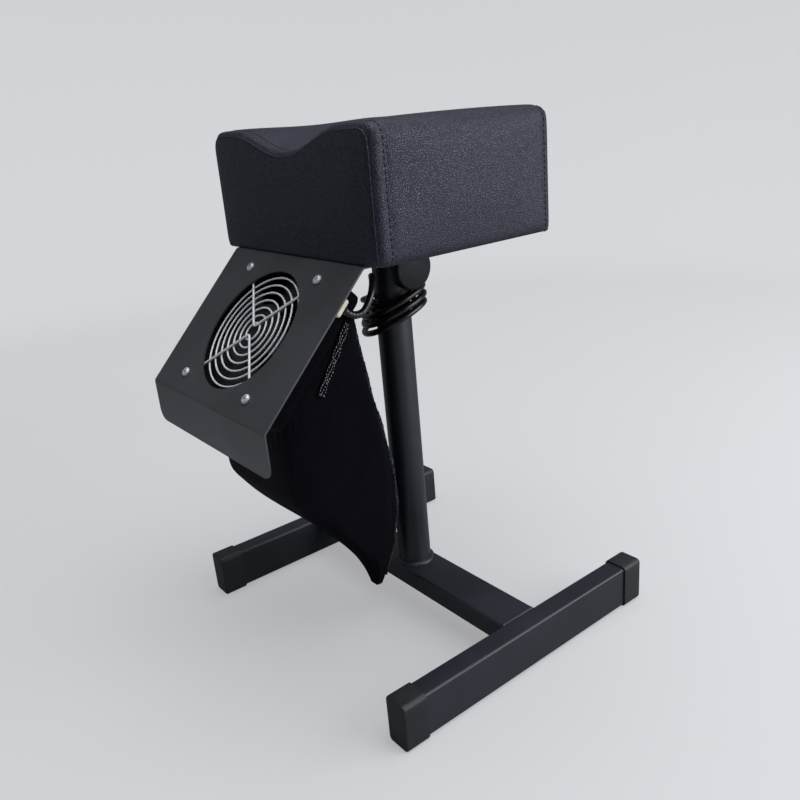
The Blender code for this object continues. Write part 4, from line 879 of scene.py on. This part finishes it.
def screw_head(place, number):
    """A domed head over a polar grid, lowered inside a cross; the shank goes straight down behind it."""
    radius = np.concatenate([np.linspace(0.0, RECESS_RING, 25), np.linspace(0.0029, HEAD_RADIUS, 9)])
    angle = full_turn(96)
    x, y = radius[:, None] * np.cos(angle), radius[:, None] * np.sin(angle)
    dome = HEAD_HEIGHT * np.sqrt(np.clip(1 - (radius / (HEAD_RADIUS * 1.06)) ** 2.6, 0.0, 1.0))[:, None]
    arm = np.minimum(np.abs(x), np.abs(y))
    reach = np.maximum(np.abs(x), np.abs(y))
    wall = np.clip((RECESS_ARM - arm) / 0.00025, 0.0, 1.0) * np.clip((RECESS_HALF - reach) / 0.0003, 0.0, 1.0)
    top = points_at(x, y, HEAD_LIFT + dome - RECESS_DEPTH * wall)
    skirt = [
        circle_path(r, (0.0, 0.0), z)
        for r, z in ((HEAD_RADIUS, HEAD_LIFT), (SHANK_RADIUS, HEAD_LIFT), (SHANK_RADIUS, screw_tip))
    ]
    grid = np.concatenate([top, np.array(skirt)]) + np.array([*place, 0.0])
    piece = skin(f"fan_screw_pan_{number}", on_fan(grid), head_zinc, ends=True)
    settle(piece, "head", "bright_zinc", f"fan_screw_{number}")


for number, place in enumerate(screw_places, 1):
    screw_head(place, number)
    dress(f"fan_nut_{number}", bright_zinc)

# Bag collar: a doubled band of the bag's cloth, stretched round the fan's rear flange over an elastic.
# Napped cloth drinks the light: it stays near black, with a faint bluish nap seen along the folds.
bag_cloth = finish(
    "napped_bag_cloth", {
        "Specular IOR Level": 0.05, "Sheen Weight": 0.02, "Sheen Roughness": 0.5, "Sheen Tint": linear("8c94ac"),
    }, ("030306", "0b0b13"), (0.92, 0.92), grain_mm=0.9, depth_mm=0.5, cloud_mm=22.0,
    strength=0.5, detail=5.0, places=(0.0, 1.0),
)


def squared(wave, power):
    """A wave between -1 and 1 with its size raised to a power, which makes an ellipse squarer."""
    return np.sign(wave) * np.abs(wave) ** power


COLLAR_SIZE = 0.125
COLLAR_CORNER = 0.009
COLLAR_THICK = 0.0022
COLLAR_FRONT = -0.0249
COLLAR_BACK = -0.0354
COLLAR_GATHER = 0.0058
COLLAR_STEP = 0.0012
HEM_POWER = 0.6
HEM_STITCH_AT = 0.0032
HEM_STITCH_WIDTH = 0.0007
HEM_STITCH_DEPTH = 0.0005
collar_mid = COLLAR_SIZE - COLLAR_THICK
collar_outline = rounded_outline(collar_mid, collar_mid, COLLAR_CORNER - COLLAR_THICK / 2)
collar_line = evenly(collar_outline, COLLAR_STEP, closed=True)
collar_ahead = np.roll(collar_line, -1, axis=0) - np.roll(collar_line, 1, axis=0)
collar_normal = unit(points_at(collar_ahead[:, 1], -collar_ahead[:, 0]))
hem_turn = full_turn(28)
hem_out = COLLAR_THICK / 2 * squared(np.cos(hem_turn), HEM_POWER)
hem_height = (COLLAR_FRONT - COLLAR_BACK) / 2 * squared(np.sin(hem_turn), HEM_POWER)
from_hem_stitch = (np.abs(hem_height) - HEM_STITCH_AT) / HEM_STITCH_WIDTH
hem_out = hem_out - HEM_STITCH_DEPTH * np.exp(-from_hem_stitch ** 2) * (hem_out > 0)
gather = 1 + 0.16 * np.sin(np.arange(len(collar_line)) * COLLAR_STEP * 2 * math.pi / COLLAR_GATHER)
collar_out = np.where(hem_out > 0, hem_out * gather[:, None], hem_out)
collar_grid = np.concatenate([
    collar_line[:, None] + collar_normal[:, None] * collar_out[..., None],
    np.broadcast_to((COLLAR_FRONT + COLLAR_BACK) / 2 + hem_height, collar_out.shape)[..., None],
], axis=2)
collar_grid = on_fan(np.concatenate([collar_grid, collar_grid[:1]]))
settle(skin("elastic_collar", collar_grid, bag_cloth, sharp=80), "head", "bag_cloth", "bag_collar")

# Dust bag: two cloth panels sewn along the rear corners, hung from the collar and drawn to a tip by their own weight.
# It hangs forward under the fan, turns under at its front corner and falls slack towards the base.
BAG_FRONT = np.array([-0.16321, 0.24589])
BAG_REAR = np.array([-0.07559, 0.33504])
BAG_CORNER = np.array([-0.1598, 0.1820])
BAG_TIP = np.array([-0.050, 0.036])
BAG_TIP_HALF = 0.006
BAG_TIP_DEPTH = 0.007
BAG_TAPER = 2.12
BAG_ROWS = 96
BAG_COLUMNS = 168
CORNER_SOFTEN = 0.02
CLOTH_THICK = 0.0008
FOLD_DEPTH = 0.0021
PLEAT_DEPTH = 0.0004
MOUTH_TUCK = 0.955
MOUTH_RISE = 0.004
TIP_PINCH = 0.15
TIP_DROP = 0.0015


def bezier(a, b, c, d):
    """A cubic curve between its first and last point, drawn towards the two between."""
    t = np.linspace(0.0, 1.0, 60)[:, None]
    return a * (1 - t) ** 3 + 3 * b * t * (1 - t) ** 2 + 3 * c * t ** 2 * (1 - t) + d * t ** 3


def at_shares(line, shares):
    """Points at shares of a line's whole length."""
    return at_runs(line, shares * run_along(line)[-1])


tip_front, tip_rear = BAG_TIP - [BAG_TIP_DEPTH / 2, 0.0], BAG_TIP + [BAG_TIP_DEPTH / 2, 0.0]
under_line = np.concatenate([[BAG_FRONT], bezier(
    BAG_CORNER, BAG_CORNER + [0.0159, -0.0357], tip_front + [-0.0003, 0.0460], tip_front)])
rear_line = bezier(BAG_REAR, BAG_REAR - [0.0139, 0.0396], tip_rear + [0.0310, 0.1372], tip_rear)
share = np.linspace(0.0, 1.0, BAG_ROWS)
front_at = (at_shares(under_line, np.clip(share - CORNER_SOFTEN, 0.0, 1.0)) + 2 * at_shares(under_line, share)
            + at_shares(under_line, np.clip(share + CORNER_SOFTEN, 0.0, 1.0))) / 4
rear_at = at_shares(rear_line, share)
front_at[0], front_at[-1] = under_line[0], under_line[-1]
half_width = BAG_TIP_HALF + (COLLAR_SIZE / 2 - BAG_TIP_HALF) * (1 - share ** BAG_TAPER)
half_depth = np.linalg.norm(rear_at - front_at, axis=1) / 2
bag_behind = (rear_at - front_at) / (2 * half_depth[:, None])
bag_centre = (rear_at + front_at) / 2
bag_power = (2 / (6.0 - 0.62 * share))[:, None]


def bag_section(angle):
    """Points round each section at these angles: a superellipse, squarer at the mouth, pushed in and out by slow
    folds that run down the cloth and by close gathers under the collar."""
    fall = np.clip(share / 0.3, 0.0, 1.0)[:, None]
    slack = FOLD_DEPTH * fall * fall * (3 - 2 * fall) * (1 - 0.75 * share[:, None])
    down = share[:, None]
    fold = slack * (0.55 * np.sin(3 * angle + 5 * down + 0.6) + 0.4 * np.sin(5 * angle - 7 * down + 1.9)
                    + 0.3 * np.sin(9 * angle + 11 * down))
    pleat = PLEAT_DEPTH * np.exp(-((down - 0.04) / 0.03) ** 2) * np.sin(30 * angle + np.sin(4 * angle))
    push = (fold + pleat) / half_depth[:, None].clip(0.01)
    x = half_width[:, None] * squared(np.cos(angle), bag_power) * (1 + push)
    d = half_depth[:, None] * squared(np.sin(angle), bag_power) * (1 + push)
    y = post_axis[1] + bag_centre[:, :1] + d * bag_behind[:, :1]
    return points_at(x, y, bag_centre[:, 1:] + d * bag_behind[:, 1:])


bag_grid = bag_section(full_turn(BAG_COLUMNS))
bag_mouth = bag_grid[0].mean(axis=0)
tucked = bag_mouth + MOUTH_TUCK * (bag_grid[0] - bag_mouth) + MOUTH_RISE * fan_out
bag_point = bag_grid[-1].mean(axis=0)
tip_close = bag_point + TIP_PINCH * (bag_grid[-1] - bag_point) - [0.0, 0.0, TIP_DROP]
bag = skin("cloth_dust_bag", np.concatenate([tucked[None], bag_grid, tip_close[None]]), bag_cloth, sharp=80)
cloth_wall = bag.modifiers.new("cloth_thickness", "SOLIDIFY")
cloth_wall.thickness = CLOTH_THICK
cloth_wall.offset = -1.0
settle(bag, "head", "bag_cloth", "dust_bag")

# Bag seams: the cut edges of the two panels, sewn together and turned outwards down both rear corners.
# The cut nap frays, so they show as a pale speckled line, browner with dust near the tip.
seam_cloth, fray_tree, fray_shader = new_material("frayed_bag_edge", {
    "Roughness": 0.95, "Specular IOR Level": 0.1,
    "Sheen Weight": 0.2, "Sheen Roughness": 0.5, "Sheen Tint": linear("b4b6c0"),
})
fray_where = add_node(fray_tree, "TexCoord", {}, "Object")
fray_hair = add_node(fray_tree, "TexNoise", {"Vector": fray_where, "Scale": 1000 / 1.3, "Detail": 6.0}, "Fac")
fray_height = add_node(fray_tree, "SeparateXYZ", {0: fray_where}, "Z")
fray_low = add_node(fray_tree, "MapRange", {"Value": fray_height, "From Min": 0.15, "From Max": 0.09}, "Result")
fray_tone = add_node(
    fray_tree, "ValToRGB", {"Fac": fray_hair}, "Color", stops=(("0c0c11", 0.45), ("6c6c74", 0.72)),
)
fill(fray_tree, fray_shader, {
    "Base Color": add_node(fray_tree, "Mix", {
        "Factor": fray_low, "A": fray_tone, "B": linear("2c2724"),
    }, "Result", data_type="RGBA"),
    "Normal": add_node(fray_tree, "Bump", {"Strength": 0.7, "Distance": 0.0005, "Height": fray_hair}, "Normal"),
})
SEAM_STAND = 0.0022
SEAM_THICK = 0.0012
SEAM_ROWS = 220
SEAM_PITCH = 0.0015
seam_share = np.linspace(0.02, 0.965, SEAM_ROWS)
for name, corner_angle in (("bag_seam_right", math.pi / 4), ("bag_seam_left", 3 * math.pi / 4)):
    root = at_shares(bag_section(np.array([corner_angle]))[:, 0], seam_share)
    outward = points_at(math.copysign(1.0, math.cos(corner_angle)), *bag_behind.T)
    outward = at_shares(outward, seam_share) / math.sqrt(2)
    beside = unit(np.cross(unit(np.gradient(root, axis=0)), outward))
    run = np.arange(SEAM_ROWS) * SEAM_PITCH
    ragged = 1 + 0.1 * np.sin(run / 0.0011) * np.sin(run / 0.0047) + 0.2 * np.sin(run / 0.0089 + 1.0)
    reach = SEAM_STAND * ragged * np.minimum(1.0, np.arange(SEAM_ROWS) / 12 + 0.2)
    sway = 0.0008 * np.sin(run / 0.0072) + 0.0004 * np.sin(run / 0.0023)
    strip_turn = full_turn(12)
    out_by = reach[:, None] * (0.35 + 0.65 * np.cos(strip_turn))
    side_by = sway[:, None] * (1 + np.cos(strip_turn)) / 2 + SEAM_THICK / 2 * np.sin(strip_turn)
    seam_grid = root[:, None] + outward[:, None] * out_by[..., None] + beside[:, None] * side_by[..., None]
    settle(skin(name, seam_grid, seam_cloth, ends=True, sharp=80), "head", "bag_cloth")

# Hook strip: a length of woven nylon hook tape sewn on the bag's right side, with the hooks outwards.
# The stiff bent hooks catch the light as pale specks on the black tape; these are painted glints, the hooks being
# coloured from near black to pale grey in patches. They are drawn coarser than real, to show.
hook_tape = finish(
    "woven_hook_tape", {"IOR": 1.53, "Specular IOR Level": 0.05}, ("030304", "09090b"), (0.85, 0.95),
    grain_mm=0.8, depth_mm=0.4, cloud_mm=2.0,
)
# Painted highlights: the hooks' colour runs from near black to pale grey in patches, as light caught on them.
hook_nylon_painted_glints = finish(
    "nylon_hooks_painted_glints", {"IOR": 1.53}, ("18181c", "cacad0"), (0.35, 0.5), grain_mm=0.5, depth_mm=0.05, cloud_mm=1.6,
)
TAPE_LENGTH = 0.0615
TAPE_WIDTH = 0.007
TAPE_THICK = 0.0009
TAPE_UP = 0.0083
TAPE_BACK = 0.042
TAPE_LEAN = math.radians(12.8)
TAPE_CLEAR = 0.0003
TAPE_WEAVE = 0.0015
tape_middle = np.array([COLLAR_SIZE / 2 + TAPE_CLEAR + TAPE_THICK / 2, TAPE_UP, -TAPE_BACK])
TAPE_AXES = np.array([
    [0.0, math.cos(TAPE_LEAN), math.sin(TAPE_LEAN)],
    [0.0, -math.sin(TAPE_LEAN), math.cos(TAPE_LEAN)],
    ALONG_X,
])


def on_tape(points):
    """Points given along, across and above the tape, in the row's frame."""
    return on_fan(tape_middle + points @ TAPE_AXES)


tape_turn = full_turn(24)
tape_along = np.linspace(-TAPE_LENGTH / 2, TAPE_LENGTH / 2, 83)
tape_edge = TAPE_WIDTH / 2 * (1 - 0.02 * np.cos(2 * math.pi * tape_along / TAPE_WEAVE))[:, None]
tape_across = tape_edge * squared(np.cos(tape_turn), 0.3)
tape_above = TAPE_THICK / 2 * squared(np.sin(tape_turn), 0.5)
tape_grid = points_at(tape_along[:, None], tape_across, tape_above)
tape = skin("hook_tape_strip", on_tape(tape_grid), hook_tape, ends=True, sharp=60)
settle(tape, "head", "hook_tape", "hook_strip")
HOOK_PITCH = 0.0024
HOOK_SPACING = 0.0021
HOOK_RADIUS = 0.0006
HOOK_WIRE = 0.0006
HOOK_STRAY = 0.0006
hook_row, hook_line = np.meshgrid(np.arange(25), np.arange(3), indexing="ij")
hook_place = points_at(
    (hook_row - 12) * HOOK_PITCH + HOOK_STRAY * np.sin(7.1 * hook_row + 3.3 * hook_line),
    (hook_line - 1) * HOOK_SPACING + HOOK_STRAY * np.sin(5.3 * hook_row + 1.7 * hook_line),
    TAPE_THICK / 2 - 0.0001,
).reshape(-1, 1, 1, 3)
hook_bend = np.linspace(0.0, 1.25 * math.pi, 7)[:, None]
hook_turn = full_turn(6)
hook_reach = HOOK_RADIUS + HOOK_WIRE / 2 * np.cos(hook_turn)
hook_way = np.where((hook_row + hook_line) % 2, 1.0, -1.0).reshape(-1, 1, 1)
hook_along = hook_way * hook_reach * np.cos(hook_bend)
hook_grid = hook_place + points_at(
    hook_along, HOOK_WIRE / 2 * np.sin(hook_turn), hook_reach * np.sin(hook_bend))
settle(skin("tape_hooks", on_tape(hook_grid), hook_nylon_painted_glints, ends=True, sharp=80), "head", "hook_tape")

# Connector: the cream moulding pushed on the fan's terminals, with a step where its two halves meet.
# Unfilled polyamide is a warm off-white with a soft gloss, a little yellower in places.
cream_plastic = finish(
    "cream_polyamide", {"IOR": 1.53}, ("d9cdb2", "e6dcc6"), (0.36, 0.5),
    grain_mm=1.2, depth_mm=0.08, cloud_mm=7.0,
)
connector_points = (read_points(frame["nodes"]["fan_connector"].data) - fan_centre) @ FAN_AXES.T
connector_low, connector_high = connector_points.min(axis=0), connector_points.max(axis=0)
connector_size, connector_middle = connector_high - connector_low, (connector_low + connector_high) / 2
CONNECTOR_EDGE = 0.0016
CONNECTOR_CORNER = 0.0026
CONNECTOR_STEP = 0.45
cap_arc = quarter(6)
connector_inset = CONNECTOR_EDGE * np.concatenate([
    1 - np.sin(cap_arc), [0.0, 0.0, CONNECTOR_STEP, CONNECTOR_STEP], 1 - np.cos(cap_arc),
])
connector_along = np.concatenate([
    connector_low[2] + CONNECTOR_EDGE * (1 - np.cos(cap_arc)),
    connector_middle[2] + np.array([-0.0006, -0.0002, 0.0002, 0.0006]),
    connector_high[2] - CONNECTOR_EDGE * (1 - np.sin(cap_arc)),
])
connector_rings = []
for inset, depth in zip(connector_inset, connector_along):
    corner = max(CONNECTOR_CORNER - inset, 0.0008)
    outline = rounded_outline(connector_size[0] - 2 * inset, connector_size[1] - 2 * inset, corner)
    connector_rings.append(points_at(*(connector_middle[:2] + outline).T, depth))
connector = skin("cream_connector", on_fan(np.array(connector_rings)), cream_plastic, ends=True, sharp=50)
settle(connector, "head", "cream_plastic", "fan_connector")

# Cord: black vinyl flex with two cores. It leaves the connector, loops up behind the collar, and is wound loosely down
# the post in an inner layer and up again in an outer one. Soft vinyl is glossy where it is stretched over a bend.
cord_vinyl = finish(
    "soft_black_vinyl", {"IOR": 1.52}, ("08080a", "0e0e11"), (0.24, 0.36), grain_mm=1.6, depth_mm=0.05, cloud_mm=12.0,
)
CORD_DIAMETER = 0.0055
CORD_STEP = 0.0022
CORD_CLEAR = 0.0014
WINDING_TOP = 0.315
WINDING_PITCH = 0.0068
WINDING_SKIP = 0.001
INNER_LOOPS = 3
OUTER_LOOPS = 3
LAST_TURN = INNER_LOOPS + OUTER_LOOPS + 44 / 360
INNER_TILT = 0.12
OUTER_TILT = 0.5
HIGH_SIDE = math.radians(53)
WINDING_START = math.radians(223)
INNER_RADIUS = POST_RADIUS + CORD_DIAMETER / 2 + CORD_CLEAR
OUTER_RADIUS = 0.0279


def ease(t):
    """A smooth step from 0 to 1."""
    t = np.clip(t, 0.0, 1.0)
    return t * t * (3 - 2 * t)


loop = np.linspace(0.0, LAST_TURN, round(LAST_TURN * 72) + 1)
loop_angle = WINDING_START - 2 * math.pi * loop
lean = np.cos(loop_angle - HIGH_SIDE)
outer = ease((loop - INNER_LOOPS) / 0.5)
loop_radius = INNER_RADIUS + outer * (OUTER_RADIUS + 0.0006 * lean + 0.0004 * np.sin(1.9 * loop) - INNER_RADIUS)
loop_down = np.minimum(loop, INNER_LOOPS) * WINDING_PITCH + WINDING_SKIP * ease((loop - 0.4 * INNER_LOOPS) / 0.6)
loop_down += 0.5 * WINDING_PITCH * outer
loop_up = np.maximum(loop - INNER_LOOPS - 0.2, 0.0) * WINDING_PITCH
loop_up += WINDING_SKIP * ease((loop - INNER_LOOPS - 0.5 * OUTER_LOOPS) / 0.6)
loop_tilt = INNER_TILT + (OUTER_TILT - INNER_TILT) * outer
winding = points_at(
    loop_radius * np.cos(loop_angle), loop_radius * np.sin(loop_angle),
    WINDING_TOP - loop_down + loop_up + loop_tilt * loop_radius * lean,
)


def through(points):
    """A Catmull-Rom curve through a route's own points, twelve steps between each two."""
    points = np.array(points)
    ends = np.concatenate([[2 * points[0] - points[1]], points, [2 * points[-1] - points[-2]]])
    a, b, c, d = (ends[k:len(ends) - 3 + k, None] for k in range(4))
    t = (np.arange(12) / 12)[:, None]
    curve = 0.5 * (2 * b + (c - a) * t + (2 * a - 5 * b + 4 * c - d) * t ** 2 + (3 * b - a - 3 * c + d) * t ** 3)
    return np.concatenate([curve.reshape(-1, 3), points[-1:]])


def from_post(path):
    """The level way from the post's axis to each point of a path."""
    return (path - post_axis) * [1.0, 1.0, 0.0]


lead = through([
    (0.0667, -0.0971, 0.3295), (0.0667, -0.0935, 0.3260), (0.0669, -0.0869, 0.3232), (0.0668, -0.0788, 0.3246),
    (0.0658, -0.0710, 0.3334), (0.0611, -0.0643, 0.3413), (0.0502, -0.0562, 0.3448), (0.0378, -0.0476, 0.3428),
    (0.0231, -0.0362, 0.3332), (0.0087, -0.0303, 0.3196), (-0.00382, -0.02904, 0.31435),
    (-0.00847, -0.02253, 0.31281), (-0.01137, -0.01846, 0.31272),
])
tail = through([
    (-0.02793, 0.00582, 0.30521), (-0.02866, 0.01135, 0.30742), (-0.0330, 0.0200, 0.3085),
    (-0.0368, 0.0272, 0.3005), (-0.03913, 0.02949, 0.288), (-0.03913, 0.02949, 0.274), (-0.03913, 0.02949, 0.260),
])
cord_path = evenly(np.concatenate([lead, winding, tail]), CORD_STEP) + post_axis
cord_grid = tube(cord_path, CORD_DIAMETER / 2, from_post(cord_path), sides=16)
cord = skin("mains_cord", cord_grid, cord_vinyl, ends=True, sharp=60)
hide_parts("cord_lead", "cord_winding", "cord_tail")
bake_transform(cord)

# Cord sleeve: the moulded strain relief on the connector, ribbed and tapered, bonded on the cord's first stretch.
# It is of the cord's own vinyl, and thickest where it leaves the connector.
SLEEVE_LENGTH = 0.020
SLEEVE_THICK = 0.0008
SLEEVE_TAPER = 0.00065
SLEEVE_GROOVE = 0.0003
SLEEVE_RIBS = 6
sleeve_share = np.linspace(0.0, 1.0, 61)
sleeve_path = at_shares(cord_path[:round(SLEEVE_LENGTH / CORD_STEP) + 1], sleeve_share)
sleeve_radius = CORD_DIAMETER / 2 + SLEEVE_THICK - SLEEVE_TAPER * sleeve_share
sleeve_radius -= SLEEVE_GROOVE * np.clip(np.sin(2 * math.pi * sleeve_share * SLEEVE_RIBS), 0.0, 1.0)
sleeve_radius[[0, -1]] = CORD_DIAMETER / 2
sleeve_grid = tube(sleeve_path, sleeve_radius, from_post(sleeve_path), sides=20)
sleeve = skin("cord_sleeve", sleeve_grid, cord_vinyl, sharp=60)
settle(sleeve, "head", "cord_vinyl")

# Plug: a flat two-pin moulding bonded on the cord's end, hanging by its neck with the plated pins down.
# It is a harder black vinyl than the cord's, with a dull moulded skin and ribs to grip.
plug_vinyl = finish(
    "hard_black_vinyl", {"IOR": 1.52}, ("0c0c0e", "141417"), (0.4, 0.52), grain_mm=0.8, depth_mm=0.1, cloud_mm=10.0,
)
PLUG_TOP = np.array([-0.03913, 0.02949, 0.2597])
PLUG_LENGTH = 0.034
PLUG_TURN = math.radians(143)
PLUG_EDGE = 0.0018
RIB_DEPTH = 0.0004
RIB_COUNT = 14
PLUG_AXES = np.array([
    [math.cos(PLUG_TURN), math.sin(PLUG_TURN), 0.0],
    [-math.sin(PLUG_TURN), math.cos(PLUG_TURN), 0.0],
    ALONG_Z,
])
plug_share = np.linspace(0.0, 1.0, 69)


def swelling(*measures):
    """A measure of the plug from neck to face, run straight between four given ones and then smoothed."""
    straight = np.interp(plug_share, (0.0, 0.3, 0.55, 1.0), measures)
    smoothing = np.hanning(15) / np.hanning(15).sum()
    return np.convolve(np.pad(straight, 7, mode="edge"), smoothing, mode="valid")


plug_width = swelling(0.0090, 0.0139, 0.0280, 0.0330)
plug_depth = swelling(0.0090, 0.0116, 0.0137, 0.0137)
ribbed = (plug_share > 0.28) & (plug_share < 0.78)
rib = RIB_DEPTH * np.clip(np.sin(2 * math.pi * plug_share * RIB_COUNT), 0.0, 1.0) * ribbed
end_round = PLUG_EDGE * (1 - np.sqrt(np.clip(
    1 - ((plug_share - 1) * PLUG_LENGTH / PLUG_EDGE + 1).clip(0.0, 1.0) ** 2, 0.0, 1.0)))
plug_turn = full_turn(64)
plug_power = (2 / (2.0 + 3 * plug_share))[:, None]
plug_x = (plug_width / 2 - end_round)[:, None] * squared(np.cos(plug_turn), plug_power)
plug_y = (plug_depth / 2 - rib - end_round)[:, None] * squared(np.sin(plug_turn), plug_power)
plug_grid = points_at(plug_x, plug_y, -PLUG_LENGTH * plug_share[:, None])
plug_place = post_axis + PLUG_TOP
plug = skin("plug_moulding", plug_place + plug_grid @ PLUG_AXES, plug_vinyl, ends=True, sharp=50)
settle(plug, "stand", "cord_vinyl", "cord_plug")
PIN_RADIUS = 0.002
PIN_LENGTH = 0.019
PIN_APART = 0.019
PIN_TIP = 0.0014
PIN_GAP = 0.0003
pin_arc = quarter(7)
pin_profile = [(PIN_RADIUS * math.sin(a), -PIN_LENGTH + PIN_TIP * (1 - math.cos(a))) for a in pin_arc]
pin_profile += [(PIN_RADIUS, -0.008), (PIN_RADIUS, 0.0), (0.0, 0.0)]
for side, sign in (("a", -1), ("b", 1)):
    pin_place = plug_place + sign * PIN_APART / 2 * PLUG_AXES[0] - [0.0, 0.0, PLUG_LENGTH + PIN_GAP]
    pin = skin(f"round_pin_{side}", turned(pin_profile, 32, pin_place, UPRIGHT), bright_zinc)
    settle(pin, "stand", "bright_zinc", f"plug_pin_{side}")
